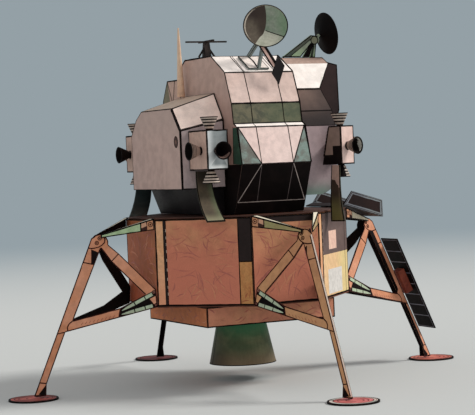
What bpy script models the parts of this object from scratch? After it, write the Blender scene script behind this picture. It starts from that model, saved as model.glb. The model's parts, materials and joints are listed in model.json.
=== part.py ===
"""Lunar lander, a printed and folded card model of about 1:48.

Frame: origin on the floor under the vertical axis, +Z up, the window face of the
ascent stage towards -Y. Legs stand on the four axes and the ladder leg is on +X.
Every size below is in millimetres.
"""
import math

import bmesh
import bpy
from mathutils import Matrix, Vector

MM = 0.001

# Card and fits
CARD = 0.4              # thickness of one folded card panel
FIT = 0.3               # gap between pieces that are glued or rest on one another

# Descent stage: octagonal box, square skirt, engine bell
WALL_APOTHEM = 41.3     # axis to the wall that carries a leg
WALL_HALF = 14.2        # half the width of that wall
WALL_FOOT = 31.9
DECK_TOP = 65.7
SKIRT_SIDE = 54.5
SKIRT_FOOT = 24.0
BELL_MOUTH_R = 13.2
BELL_MOUTH_Z = 6.4
BELL_TOP_R = 9.0
BELL_TOP_Z = 26.2

# Leg: a card sheet folded along the outer edge of the primary strut
KNEE_OUT = 61.5
KNEE_Z = 59.4
FOOT_OUT = 87.2
KNEE_DOWN = 1.0         # centre of the knee plate, along the fold
KNEE_IN = 3.6           # centre of the knee plate, in from the fold
KNEE_R = 3.3
STRUT_TOP_W = 4.7
STRUT_STEP_W = 4.0
STRUT_STEP_AT = 37.6
STRUT_THIN_W = 2.8
GUSSET_W = 4.2
GUSSET_H = 4.2
BRACE_KNEE_W = 2.6
BRACE_W = 4.2
BRACE_COLLAR_AT = 8.2
BRACE_WALL_Z = 35.6
ARM_W = 3.4
FORK_LEN = 13.8
PAD_R = 9.35
PAD_T = 0.6
PAD_OUT = 87.5

# Outrigger: L-section arm from the top corner of the wall to the knee
OUTRIGGER_WALL_H = 4.2
OUTRIGGER_KNEE_H = 1.3
OUTRIGGER_FLANGE = 2.6
OUTRIGGER_END_OUT = 58.5
OUTRIGGER_END_SIDE = 2.25
OUTRIGGER_END_Z = 60.3

# Porch and ladder on the +X leg
PORCH_HALF = 13.0
PORCH_IN = 38.0
PORCH_OUT = 59.1
PORCH_LIFT = 1.0        # its fold, above the flap on the deck
PORCH_DROP = 5.8
WING_INNER = (3.7, 4.7)     # top corners of a wing, out from and above its foot
WING_OUTER = (-0.3, 6.2)
LADDER_W = 12.9
LADDER_TOP_AT = 10.6
LADDER_LEN = 41.5
LADDER_OFF = 3.7
BRACKET_AT = 24.2
BRACKET_LEN = 10.0
BRACKET_W = 5.0

# Ascent stage, its heights counted up from the deck: the cabin's folds
CABIN_HALF = 14.65
RIDGE_Z = 60.8
RIDGE_Y = -12.8
BROW_Y = -24.5
BROW_DROP = 6.9         # below the ridge
BAND_TOP_Y = -29.4
BAND_TOP_DROP = 18.9
LEDGE_TOP_Y = -30.6
LEDGE_TOP_Z = 34.2
LEDGE_LIP_Y = -33.1
LEDGE_LIP_DROP = 1.3    # below the back of the ledge
NOSE_Y = -36.7
NOSE_Z = 18.8
CHIN_Y = -30.5
CHIN_Z = 4.2
CABIN_FOOT_Y = -28.8
CABIN_BACK_Y = 16.2
CABIN_BACK_DROP = 3.4
CABIN_BACK_RUN = 5.3

# Black base of the ascent stage
BASE_H = 10.1
BASE_LEFT = 21.5
BASE_FRONT = 20.0
BASE_BACK = 34.4
BASE_TAPER = 2.6

# Side cheeks
CHEEK_OUT = 33.0
CHEEK_FRONT = 22.8
CHEEK_FOLD_Z = 32.6
CHEEK_ROOF_FRONT = 15.5
CHEEK_ROOF_Z = 41.1
CHEEK_BACK = 25.0
CHEEK_BACK_FOLD_Z = 31.8
CHEEK_BACK_TOP = 19.7
CHEEK_BACK_DROP = 3.2   # below the cheek's roof
CHEEK_REAR_ROOF = 14.1
CHEEK_RISE = 5.4
CHEEK_FRONT_RISE = 3.7
RIGHT_CHEEK_DROP = 13.5 # its roof, below the ridge
RIGHT_CHEEK_FOOT = 6.0
RIGHT_CHEEK_ROUND = 8.5
RIGHT_CHEEK_ROOF_FRONT = 12.0

# Right midsection, right tank bay, rear bay
MID_TOP_OUT = 42.4
MID_FOOT_OUT = 33.2
MID_FRONT_FOOT = 12.0
MID_FRONT_TOP = 3.0
MID_STRIP_BACK = 2.0
MID_STRIP_DROP = 2.8    # below the ridge
BAY_OUT = 48.0
BAY_FRONT = 0.0
BAY_BACK = 20.0
BAY_DROP = 3.2          # its top corner, below the ridge
BAY_H = 25.3
REAR_DROP = 7.1         # below the ridge
REAR_TOP_BACK = 29.3
REAR_BACK = 34.2
REAR_SLOPE_H = 8.1

# Thruster quads
QUAD_LEFT_X = 25.5
QUAD_RIGHT_X = 28.8
QUAD_FACE_Y = 39.0
QUAD_W = 8.6
QUAD_Z = 24.8
QUAD_H = 14.8
QUAD_NOZZLE_IN = 4.6    # the upright nozzles, in from the outer face
QUAD_REAR_NOZZLE_IN = 2.8
QUAD_SIDE_IN = 1.0      # the side nozzle, in from the upright ones
QUAD_LIFT_OUT = 0.9
NOZZLE_MOUTH_R = 3.4
NOZZLE_NECK_R = 1.1
NOZZLE_LEN = 5.2
NOZZLE_WALL = 0.35
NOZZLE_SINK = 0.25
DEFLECTOR_TOP_W = 6.2
DEFLECTOR_END_W = 7.6
DEFLECTOR_IN = 28.6
DEFLECTOR_OUT = 1.4     # its middle, out from the middle of the box
DEFLECTOR_BELOW = 1.7   # its foot, below the deck
DEFLECTOR_CURL = 9.5
DEFLECTOR_CURVE = 2.4

# Front right thruster box, glued on at a turn
QUAD_FR_FACE = (31.57, -35.05)
QUAD_FR_TURN = 21.8
QUAD_FR_W = 7.8
QUAD_FR_D = 9.4
QUAD_FR_TOP_D = 5.9
QUAD_FR_NOZZLE_IN = 3.5
NECK_LEFT = 28.6
NECK_RIGHT = 32.4
NECK_ROOT = (3.2, 0.3)
NECK_FOOT = 18.3
NECK_TOP = 25.3
DEFLECTOR_FR_TOP = (0.9, 5.0)
DEFLECTOR_FR_FOOT = (-2.3, 4.5)
DEFLECTOR_FR_CURL = 2.2
DEFLECTOR_FR_BELOW = 4.4

# Antennas
POLE_OFF = 2.95         # from the cabin side to the pole's axis
POLE_Y = 9.5
POLE_R = 1.6
POLE_TIP_R = 0.3
POLE_TIP_Z = 73.6
CROSS_X = -11.5
CROSS_Y = -3.0
CROSS_RISE = 6.3        # above the ridge
CROSS_LONG = 17.4
CROSS_SHORT = 13.0
CROSS_BAR = 0.6
CROSS_STAND_W = 2.8
DISH_R = 8.6
DISH_DEPTH = 3.0
RADAR_X = 3.0
RADAR_FORWARD = 13.2    # in front of the ridge
RADAR_RISE = 10.5       # above the ridge
RADAR_AIM = (-0.43, -0.86, 0.27)
RADAR_FEET_X = 0.6
RADAR_FOOT_BACK = 1.8   # in front of the ridge
RADAR_FOOT_FRONT = 10.2
RADAR_LEG_W = 1.6
RADAR_PLATE_W = 8.8
STRAP_START = (-1.8, 0.9, -6.8)     # from the middle of the dish
STRAP_END = (-1.2, -0.2, 1.3)       # from the middle of the diamond
STRAP_W = 2.6
DIAMOND_X = 6.0
DIAMOND_FORWARD = 16.2
DIAMOND_DROP = 6.4      # below the ridge
DIAMOND_HALF_W = 2.75
DIAMOND_HALF_H = 5.6
DIAMOND_SHEAR = 1.4
STEER_X = 46.4
STEER_Y = 5.0
STEER_RISE = 9.9        # above the ridge
STEER_AIM = (0.98, 0.06, 0.17)
STEER_HUB_R = 1.7
STEER_HUB_BACK = 0.9    # the hub, behind and below the tip of the dish
STEER_HUB_DROP = 1.75
STEER_AXLE_W = 1.0
# Each arm: two feet on the roof, then its corners at the hub, as x and height from the hub
STEER_ARMS = (
    ((-15.7, -7.5), ((-2.3, -1.6), (0.0, -1.2), (0.7, 1.5), (-2.4, 1.8))),
    ((-5.9, -2.8), ((-0.4, -1.3), (-1.5, -0.6))),
    ((-1.8, 0.5), ((1.4, -0.8), (0.3, -0.6))),
)


def material(name, colour, rough=0.75, metal=0.0):
    mat = bpy.data.materials.new(name)
    mat.use_nodes = True
    shader = mat.node_tree.nodes["Principled BSDF"]
    shader.inputs["Base Color"].default_value = (*colour, 1.0)
    shader.inputs["Roughness"].default_value = rough
    shader.inputs["Metallic"].default_value = metal
    mat.diffuse_color = (*colour, 1.0)
    return mat


def new_object(name, mesh, collection, mat=None):
    obj = bpy.data.objects.new(name, mesh)
    collection.objects.link(obj)
    if mat and not mesh.materials:
        mesh.materials.append(mat)
    return obj


def scaled(points):
    return [Vector(p) * MM for p in points]


def prism(name, outline, low, high, axis, collection, mat):
    """Flat outline extruded along a world axis, as a 2D curve turned into a mesh."""
    curve = bpy.data.curves.new(name + "_outline", "CURVE")
    curve.dimensions = "2D"
    curve.fill_mode = "BOTH"
    curve.extrude = (high - low) / 2 * MM
    spline = curve.splines.new("POLY")
    spline.points.add(len(outline) - 1)
    for point, (u, v) in zip(spline.points, outline):
        point.co = (u * MM, v * MM, 0.0, 1.0)
    spline.use_cyclic_u = True
    guide = bpy.data.objects.new(name + "_guide", curve)
    collection.objects.link(guide)
    bases = {
        "X": ((0, 1, 0), (0, 0, 1), (1, 0, 0)),
        "Y": ((0, 0, 1), (1, 0, 0), (0, 1, 0)),
        "Z": ((1, 0, 0), (0, 1, 0), (0, 0, 1)),
    }
    turn = Matrix(bases[axis]).transposed().to_4x4()
    shift = Matrix.Translation(Vector(bases[axis][2]) * (low + high) / 2 * MM)
    bpy.context.view_layer.update()
    mesh = bpy.data.meshes.new_from_object(
        guide.evaluated_get(bpy.context.evaluated_depsgraph_get()))
    bpy.data.objects.remove(guide)
    bpy.data.curves.remove(curve)
    mesh.name = name
    mesh.transform(shift @ turn)
    weld(mesh)
    return new_object(name, mesh, collection, mat)


def weld(mesh):
    bm = bmesh.new()
    bm.from_mesh(mesh)
    bmesh.ops.remove_doubles(bm, verts=bm.verts, dist=0.00001)
    bmesh.ops.dissolve_limit(bm, angle_limit=0.0005, verts=bm.verts, edges=bm.edges)
    bmesh.ops.recalc_face_normals(bm, faces=bm.faces)
    bm.to_mesh(mesh)
    bm.free()


def box(name, centre, size, collection, mat, turn=None):
    bm = bmesh.new()
    bmesh.ops.create_cube(bm, size=1.0)
    bmesh.ops.scale(bm, vec=Vector(size) * MM, verts=bm.verts)
    if turn is not None:
        bmesh.ops.transform(bm, matrix=turn.to_4x4(), verts=bm.verts)
    bmesh.ops.translate(bm, vec=Vector(centre) * MM, verts=bm.verts)
    mesh = bpy.data.meshes.new(name)
    bm.to_mesh(mesh)
    bm.free()
    return new_object(name, mesh, collection, mat)


def loft(name, first, last, collection, mat):
    """Closed body between two rings with the same number of corners."""
    bm = bmesh.new()
    a = [bm.verts.new(p) for p in scaled(first)]
    b = [bm.verts.new(p) for p in scaled(last)]
    bm.faces.new(a)
    bm.faces.new(list(reversed(b)))
    for i in range(len(a)):
        j = (i + 1) % len(a)
        bm.faces.new((a[i], b[i], b[j], a[j]))
    bmesh.ops.recalc_face_normals(bm, faces=bm.faces)
    mesh = bpy.data.meshes.new(name)
    bm.to_mesh(mesh)
    bm.free()
    return new_object(name, mesh, collection, mat)


def turned(name, profile, steps, collection, mat):
    """Closed profile of radius and height pairs, turned about Z with a Screw modifier."""
    bm = bmesh.new()
    verts = [bm.verts.new((r * MM, 0.0, z * MM)) for r, z in profile]
    closed = profile[0][0] > 0
    for i in range(len(verts) - (0 if closed else 1)):
        bm.edges.new((verts[i], verts[(i + 1) % len(verts)]))
    mesh = bpy.data.meshes.new(name)
    bm.to_mesh(mesh)
    bm.free()
    obj = new_object(name, mesh, collection, mat)
    screw = obj.modifiers.new("turn", "SCREW")
    screw.axis = "Z"
    screw.steps = steps
    screw.render_steps = steps
    screw.use_merge_vertices = True
    screw.merge_threshold = 0.00001
    screw.use_smooth_shade = True
    return obj


def applied(obj):
    """Replaces an object's mesh by its evaluated one and clears its modifiers."""
    bpy.context.view_layer.update()
    mesh = bpy.data.meshes.new_from_object(
        obj.evaluated_get(bpy.context.evaluated_depsgraph_get()))
    mesh.name = obj.name
    old = obj.data
    obj.modifiers.clear()
    obj.data = mesh
    bpy.data.meshes.remove(old)
    bm = bmesh.new()
    bm.from_mesh(mesh)
    bmesh.ops.recalc_face_normals(bm, faces=bm.faces)
    bm.to_mesh(mesh)
    bm.free()
    return obj


def united(first, others):
    """Boolean union of solids into the first one."""
    for other in others:
        applied(other)
        join = first.modifiers.new("join", "BOOLEAN")
        join.operation = "UNION"
        join.solver = "EXACT"
        join.object = other
        applied(first)
        old = other.data
        bpy.data.objects.remove(other)
        bpy.data.meshes.remove(old)
    return first


def octagon(shrink=0.0):
    a = WALL_APOTHEM - shrink
    h = WALL_HALF - shrink * math.tan(math.radians(22.5))
    return [(h, -a), (a, -h), (a, h), (h, a), (-h, a), (-a, h), (-a, -h), (-h, -a)]


def sleeve(name, outline, inner, low, high, collection, mat):
    """Open-ended wall: the outline extruded up, less the inner outline."""
    outer = prism(name, outline, low, high, "Z", collection, mat)
    core = prism(name + "_core", inner, low - 5, high + 5, "Z", collection, mat)
    cut = outer.modifiers.new("hollow", "BOOLEAN")
    cut.operation = "DIFFERENCE"
    cut.solver = "EXACT"
    cut.object = core
    applied(outer)
    old = core.data
    bpy.data.objects.remove(core)
    bpy.data.meshes.remove(old)
    return outer


def meet(p, d, q, e):
    """Point where the line p + t d crosses the line q + s e."""
    det = d[0] * -e[1] + e[0] * d[1]
    t = ((q[0] - p[0]) * -e[1] + e[0] * (q[1] - p[1])) / det
    return (p[0] + d[0] * t, p[1] + d[1] * t)


class LegFrame:
    """Plane of one leg sheet: a runs down the fold, b runs in towards the wall."""

    def __init__(self):
        self.knee = Vector((KNEE_OUT, 0.0, KNEE_Z))
        self.foot_z = PAD_T + FIT + CARD
        foot = Vector((FOOT_OUT, 0.0, self.foot_z))
        self.down = (foot - self.knee).normalized()
        corner = Vector((WALL_APOTHEM, WALL_HALF, WALL_FOOT + 1.6)) - self.knee
        inward = corner - self.down * corner.dot(self.down)
        self.inward = inward.normalized()

    def point(self, a, b):
        return self.knee + self.down * a + self.inward * b

    def at_height(self, z, b):
        return (z - KNEE_Z - self.inward.z * b) / self.down.z

    def on_wall(self, z):
        """Sheet point that touches the wall at height z."""
        out = WALL_APOTHEM + FIT - KNEE_OUT
        lift = z - KNEE_Z
        det = self.down.x * self.inward.z - self.inward.x * self.down.z
        a = (out * self.inward.z - self.inward.x * lift) / det
        b = (self.down.x * lift - out * self.down.z) / det
        return (a, b)


def unit(p, q):
    length = math.hypot(q[0] - p[0], q[1] - p[1])
    return ((q[0] - p[0]) / length, (q[1] - p[1]) / length)


def offset(p, d, side):
    return (p[0] - d[1] * side, p[1] + d[0] * side)


def leg_mesh(leg):
    """Outline and triangular opening of one sheet, filled flat in leg coordinates."""
    centre = (KNEE_DOWN, KNEE_IN)
    brace_end = leg.on_wall(BRACE_WALL_Z)
    run = unit(centre, brace_end)
    collar = (centre[0] + run[0] * BRACE_COLLAR_AT, centre[1] + run[1] * BRACE_COLLAR_AT)
    root = (centre[0] + run[0] * 3.0, centre[1] + run[1] * 3.0)
    wall_dir = unit(leg.on_wall(WALL_FOOT), leg.on_wall(DECK_TOP))
    wall_low = leg.on_wall(WALL_FOOT + FIT)
    wall_high = meet(offset(collar, run, BRACE_W / 2), run, wall_low, wall_dir)

    strut_low = (STRUT_STEP_AT - 0.4, STRUT_THIN_W)
    arm = unit(wall_low, strut_low)
    arm_top = offset(wall_low, arm, -ARM_W)
    fork_root = (arm_top[0] + arm[0] * FORK_LEN, arm_top[1] + arm[1] * FORK_LEN)
    strut_edge = unit((0.0, STRUT_TOP_W), (STRUT_STEP_AT, STRUT_STEP_W))
    arm_at_strut = meet(arm_top, arm, (0.0, STRUT_TOP_W), strut_edge)
    brace_low = offset(collar, run, -BRACE_W / 2)
    fork_dir = unit(fork_root, wall_high)
    hole_wall = meet(brace_low, run, fork_root, fork_dir)
    brace_root_low = offset(root, run, -BRACE_KNEE_W / 2)
    hole_knee = meet(brace_root_low, unit(brace_root_low, brace_low),
                     (0.0, STRUT_TOP_W), strut_edge)

    outline = [(0.4, 0.0)]
    for i in range(7):
        turn = math.radians(252 - i * 155 / 6)
        outline.append((centre[0] + KNEE_R * math.cos(turn),
                        centre[1] + KNEE_R * math.sin(turn)))
    outline += [offset(collar, run, BRACE_W / 2), wall_high, wall_low, strut_low]
    gusset_top = leg.at_height(leg.foot_z + GUSSET_H, STRUT_THIN_W)
    outline += [(gusset_top, STRUT_THIN_W),
                (leg.at_height(leg.foot_z, GUSSET_W), GUSSET_W),
                (leg.at_height(leg.foot_z, 0.0), 0.0)]
    opening = [hole_knee, brace_low, hole_wall, fork_root, arm_at_strut]

    bm = bmesh.new()
    for loop in (outline, opening):
        verts = [bm.verts.new(leg.point(a, b) * MM) for a, b in loop]
        for i in range(len(verts)):
            bm.edges.new((verts[i], verts[(i + 1) % len(verts)]))
    bmesh.ops.triangle_fill(bm, use_beauty=True, edges=bm.edges)
    bmesh.ops.recalc_face_normals(bm, faces=bm.faces)
    if bm.faces[:][0].normal.y < 0:
        bmesh.ops.reverse_faces(bm, faces=bm.faces)
    mesh = bpy.data.meshes.new("leg_sheet")
    bm.to_mesh(mesh)
    bm.free()
    return mesh


def leg_truss(name, mesh, turn, collection, mat):
    obj = new_object(name, mesh, collection, mat)
    obj.rotation_euler = (0.0, 0.0, turn)
    mirror = obj.modifiers.new("fold", "MIRROR")
    mirror.use_axis = (False, True, False)
    mirror.merge_threshold = 0.00001
    thick = obj.modifiers.new("card", "SOLIDIFY")
    thick.thickness = CARD * MM
    thick.offset = -1.0
    thick.use_even_offset = True
    return obj


def outrigger_mesh(leg):
    """L-section arm on the +Y side of a leg, web outside and flange on top."""
    def ring(out, side, top, height, flange):
        return [(out, side, top), (out, side - flange, top),
                (out, side - flange, top - CARD), (out, side - CARD, top - CARD),
                (out, side - CARD, top - height), (out, side, top - height)]
    wall = ring(WALL_APOTHEM + FIT, WALL_HALF, DECK_TOP - 0.1, OUTRIGGER_WALL_H,
                OUTRIGGER_FLANGE)
    knee = ring(OUTRIGGER_END_OUT, OUTRIGGER_END_SIDE, OUTRIGGER_END_Z,
                OUTRIGGER_KNEE_H, CARD + 0.1)
    return wall, knee


def porch(turn, collection, mat):
    """Folded card: a flap on the deck, a sloped floor and two upright side wings."""
    fold = WALL_APOTHEM - 0.1
    flap = DECK_TOP + FIT + CARD
    top = flap + PORCH_LIFT
    floor = [(PORCH_IN, flap), (fold, top), (PORCH_OUT, top - PORCH_DROP)]
    bm = bmesh.new()
    rows = []
    for side in (-PORCH_HALF, PORCH_HALF):
        rows.append([bm.verts.new(Vector((r, side, z)) * MM) for r, z in floor])
    for i in range(2):
        bm.faces.new((rows[0][i], rows[0][i + 1], rows[1][i + 1], rows[1][i]))
    for row, flip in ((rows[0], False), (rows[1], True)):
        tops = []
        for foot, (out, up) in ((row[1], WING_INNER), (row[2], WING_OUTER)):
            tops.append(bm.verts.new(foot.co + Vector((out, 0.0, up)) * MM))
        a, b = tops
        ring = (row[1], row[2], b, a)
        bm.faces.new(tuple(reversed(ring)) if flip else ring)
    bmesh.ops.recalc_face_normals(bm, faces=bm.faces)
    bm.faces.ensure_lookup_table()
    if bm.faces[0].normal.z < 0:
        bmesh.ops.reverse_faces(bm, faces=bm.faces)
    mesh = bpy.data.meshes.new("porch")
    bm.to_mesh(mesh)
    bm.free()
    obj = new_object("porch", mesh, collection, mat)
    obj.rotation_euler = (0.0, 0.0, turn)
    thick = obj.modifiers.new("card", "SOLIDIFY")
    thick.thickness = CARD * MM
    thick.offset = -1.0
    thick.use_even_offset = True
    return obj


def fold_box(name, leg, at, length, gap, depth, width, collection, mat):
    """Box that lies along the outer side of the fold, gap away from it."""
    out = Vector((-leg.down.z, 0.0, leg.down.x))
    turn = Matrix((leg.down, Vector((0, 1, 0)), leg.down.cross(Vector((0, 1, 0))))).transposed()
    centre = leg.knee + leg.down * (at + length / 2) + out * (gap + depth / 2)
    return box(name, centre, (length, width, depth), collection, mat, turn)


def cone_cup(name, base, aim, depth, mouth_r, neck_r, wall, steps, collection, mat):
    """Hollow cone that opens along aim, its closed neck at base."""
    profile = [(0.0, 0.0), (neck_r, 0.0), (mouth_r, depth), (mouth_r - wall, depth),
               (max(neck_r - wall, 0.2), wall * 1.5), (0.0, wall * 1.5)]
    obj = turned(name, list(reversed(profile)), steps, collection, mat)
    applied(obj)
    turn = Vector(aim).to_track_quat("Z", "Y").to_matrix().to_4x4()
    obj.data.transform(Matrix.Translation(Vector(base) * MM) @ turn)
    return obj


def bar(name, start, end, width, depth, face, collection, mat):
    """Flat bar between two points, its width across the face normal."""
    start, end = Vector(start), Vector(end)
    along = (end - start).normalized()
    normal = Vector(face)
    normal = (normal - along * normal.dot(along)).normalized()
    across = normal.cross(along)
    turn = Matrix((along, across, normal)).transposed()
    return box(name, (start + end) / 2, ((end - start).length, width, depth),
               collection, mat, turn)


def quad(name, face, side_y, size, nozzle_in, collection, mat, turn=0.0, neck=None):
    """Thruster box with four hollow nozzles, built round the middle of its outer face.

    size is (width, depth at the foot, depth at the top). neck is the outline, seen from
    above, of the card that joins a turned box to the cheek.
    """
    width, depth, top_depth = size
    sx = 1 if face[0] > 0 else -1
    low, high = QUAD_Z - QUAD_H / 2, QUAD_Z + QUAD_H / 2
    body = prism(name, [(0, low), (-side_y * depth, low), (-side_y * top_depth, high),
                        (0, high)], -width / 2, width / 2, "X", collection, mat)
    sink = NOZZLE_SINK
    upright_x = sx * (QUAD_LIFT_OUT if turn == 0.0 else 0.0)
    inward = -side_y * nozzle_in
    spots = [
        ((0, -side_y * sink, QUAD_Z - 0.4), (0, side_y, 0)),
        ((sx * (width / 2 - sink), inward - side_y * QUAD_SIDE_IN, QUAD_Z - 0.2), (sx, 0, 0)),
        ((upright_x, inward, high - sink), (0, 0, 1)),
        ((upright_x, inward, low + sink), (0, 0, -1)),
    ]
    parts = []
    for i, (base, aim) in enumerate(spots):
        parts.append(cone_cup("nozzle%d" % i, base, aim, NOZZLE_LEN, NOZZLE_MOUTH_R,
                              NOZZLE_NECK_R, NOZZLE_WALL, 20, collection, mat))
    if neck:
        back = Matrix.Rotation(-turn, 2)
        plan = [back @ (Vector(point) - Vector(face)) for point in neck]
        parts.append(prism("neck", plan, NECK_FOOT, NECK_TOP, "Z", collection, mat))
    united(body, parts)
    body.location = Vector((*face, 0.0)) * MM
    body.rotation_euler = (0.0, 0.0, turn)
    return body


def deflector(name, top_ends, foot_ends, below, collection, mat):
    """Card strip that hangs under a thruster box and curls outwards at its foot."""
    top = QUAD_Z - QUAD_H / 2 - FIT
    rows = 9
    bm = bmesh.new()
    grid = []
    for i in range(rows):
        t = i / (rows - 1)
        z = top - (below + top) * t
        row = []
        for (x0, y0), (x1, y1) in zip(top_ends, foot_ends):
            place = Vector((x0 + (x1 - x0) * t, y0 + (y1 - y0) * t ** DEFLECTOR_CURVE, z))
            row.append(bm.verts.new(place * MM))
        grid.append(row)
    for i in range(rows - 1):
        bm.faces.new((grid[i][0], grid[i][1], grid[i + 1][1], grid[i + 1][0]))
    bmesh.ops.recalc_face_normals(bm, faces=bm.faces)
    mesh = bpy.data.meshes.new(name)
    bm.to_mesh(mesh)
    bm.free()
    obj = new_object(name, mesh, collection, mat)
    thick = obj.modifiers.new("card", "SOLIDIFY")
    thick.thickness = CARD * MM
    thick.offset = 0.0
    thick.use_even_offset = True
    return obj


def turned_quad(collection, box_mat, strip_mat):
    """Front right thruster box: glued on at a turn, its deflector along its left side."""
    turn = math.radians(QUAD_FR_TURN)
    across = Vector((math.cos(turn), math.sin(turn)))
    inward = Vector((-math.sin(turn), math.cos(turn)))
    face = Vector(QUAD_FR_FACE)
    near = -(CHEEK_FRONT + FIT)
    neck = [(NECK_LEFT, near), (NECK_RIGHT, near)]
    for lateral in NECK_ROOT:
        neck.append(face + across * lateral + inward * QUAD_FR_TOP_D * 0.97)
    quad("thruster_quad_front_right", face, -1, (QUAD_FR_W, QUAD_FR_D, QUAD_FR_TOP_D),
         QUAD_FR_NOZZLE_IN, collection, box_mat, turn, neck)
    corner = face - across * (QUAD_FR_W / 2)
    top_ends = [corner + inward * p for p in DEFLECTOR_FR_TOP]
    foot_ends = [corner + inward * p - across * DEFLECTOR_FR_CURL for p in DEFLECTOR_FR_FOOT]
    deflector("plume_deflector_front_right", top_ends, foot_ends, DEFLECTOR_FR_BELOW,
              collection, strip_mat)


def cheek_ring(x, rise, front_rise, foot):
    """Side outline of a cheek at one station across the lander."""
    return [(x, -CHEEK_FRONT, foot), (x, -CHEEK_FRONT, CHEEK_FOLD_Z + front_rise),
            (x, -CHEEK_ROOF_FRONT, CHEEK_ROOF_Z + rise),
            (x, CHEEK_REAR_ROOF, CHEEK_ROOF_Z + rise),
            (x, CHEEK_BACK_TOP, CHEEK_ROOF_Z - CHEEK_BACK_DROP + rise),
            (x, CHEEK_BACK, CHEEK_BACK_FOLD_Z), (x, CHEEK_BACK, foot)]


def descent_stage(col):
    foil = material("foil_card", (0.52, 0.27, 0.13), 0.6)
    dark = material("deck_card", (0.13, 0.07, 0.05))
    tan = material("skirt_card", (0.55, 0.30, 0.17), 0.6)
    bell_mat = material("bell_card", (0.20, 0.26, 0.18), 0.55)
    leg_mat = material("leg_card", (0.58, 0.32, 0.18), 0.65)
    arm_mat = material("outrigger_card", (0.42, 0.50, 0.34), 0.65)
    pad_mat = material("pad_card", (0.60, 0.25, 0.18), 0.7)
    black = material("black_card", (0.03, 0.03, 0.035), 0.6)

    sleeve("descent_walls", octagon(), octagon(CARD), WALL_FOOT + CARD + FIT,
           DECK_TOP - CARD - FIT, col, foil)
    prism("descent_deck", octagon(), DECK_TOP - CARD, DECK_TOP, "Z", col, dark)
    prism("descent_floor", octagon(), WALL_FOOT, WALL_FOOT + CARD, "Z", col, tan)

    half = SKIRT_SIDE / 2
    skirt = box("skirt_box", (0, 0, (SKIRT_FOOT + WALL_FOOT - FIT) / 2),
                (SKIRT_SIDE, SKIRT_SIDE, WALL_FOOT - FIT - SKIRT_FOOT), col, tan)
    inside = half - CARD
    core = prism("skirt_core", [(-inside, -inside), (inside, -inside),
                                (inside, inside), (-inside, inside)],
                 SKIRT_FOOT + CARD, WALL_FOOT + 5, "Z", col, tan)
    taper = (BELL_MOUTH_R - BELL_TOP_R) / (BELL_TOP_Z - BELL_MOUTH_Z)
    hole_r = BELL_MOUTH_R - taper * (SKIRT_FOOT - BELL_MOUTH_Z) + FIT
    hole = [(hole_r * math.cos(math.tau * i / 48), hole_r * math.sin(math.tau * i / 48))
            for i in range(48)]
    bore = prism("skirt_hole", hole, SKIRT_FOOT - 5, WALL_FOOT, "Z", col, tan)
    for cutter in (core, bore):
        cut = skirt.modifiers.new("cut", "BOOLEAN")
        cut.operation = "DIFFERENCE"
        cut.solver = "EXACT"
        cut.object = cutter
        applied(skirt)
        old = cutter.data
        bpy.data.objects.remove(cutter)
        bpy.data.meshes.remove(old)

    profile = [(0.0, BELL_TOP_Z), (BELL_TOP_R, BELL_TOP_Z), (BELL_MOUTH_R, BELL_MOUTH_Z),
               (BELL_MOUTH_R - CARD, BELL_MOUTH_Z), (BELL_TOP_R - CARD, BELL_TOP_Z - CARD),
               (0.0, BELL_TOP_Z - CARD)]
    applied(turned("engine_bell", profile, 48, col, bell_mat))

    leg = LegFrame()
    sheet = leg_mesh(leg)
    arm_wall, arm_knee = outrigger_mesh(leg)
    places = {"right": 0.0, "rear": math.pi / 2, "left": math.pi, "front": -math.pi / 2}
    for place, turn in places.items():
        leg_truss("leg_truss_" + place, sheet, turn, col, leg_mat)
        for side, s in (("a", 1), ("b", -1)):
            flip = [(r, y * s, z) for r, y, z in arm_wall]
            knee = [(r, y * s, z) for r, y, z in arm_knee]
            arm = loft("outrigger_%s_%s" % (place, side), flip, knee, col, arm_mat)
            arm.rotation_euler = (0.0, 0.0, turn)
        bm = bmesh.new()
        bmesh.ops.create_cone(bm, cap_ends=True, segments=40, radius1=PAD_R * MM,
                              radius2=PAD_R * MM, depth=PAD_T * MM)
        bmesh.ops.translate(bm, vec=(0, 0, PAD_T / 2 * MM), verts=bm.verts)
        mesh = bpy.data.meshes.new("footpad_" + place)
        bm.to_mesh(mesh)
        bm.free()
        pad = new_object("footpad_" + place, mesh, col, pad_mat)
        pad.location = (PAD_OUT * MM * math.cos(turn), PAD_OUT * MM * math.sin(turn), 0.0)

    porch(0.0, col, black)
    fold_box("ladder", leg, LADDER_TOP_AT, LADDER_LEN, LADDER_OFF, CARD, LADDER_W, col, black)
    fold_box("ladder_bracket", leg, BRACKET_AT, BRACKET_LEN, FIT, LADDER_OFF - 2 * FIT,
             BRACKET_W, col, leg_mat)


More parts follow.
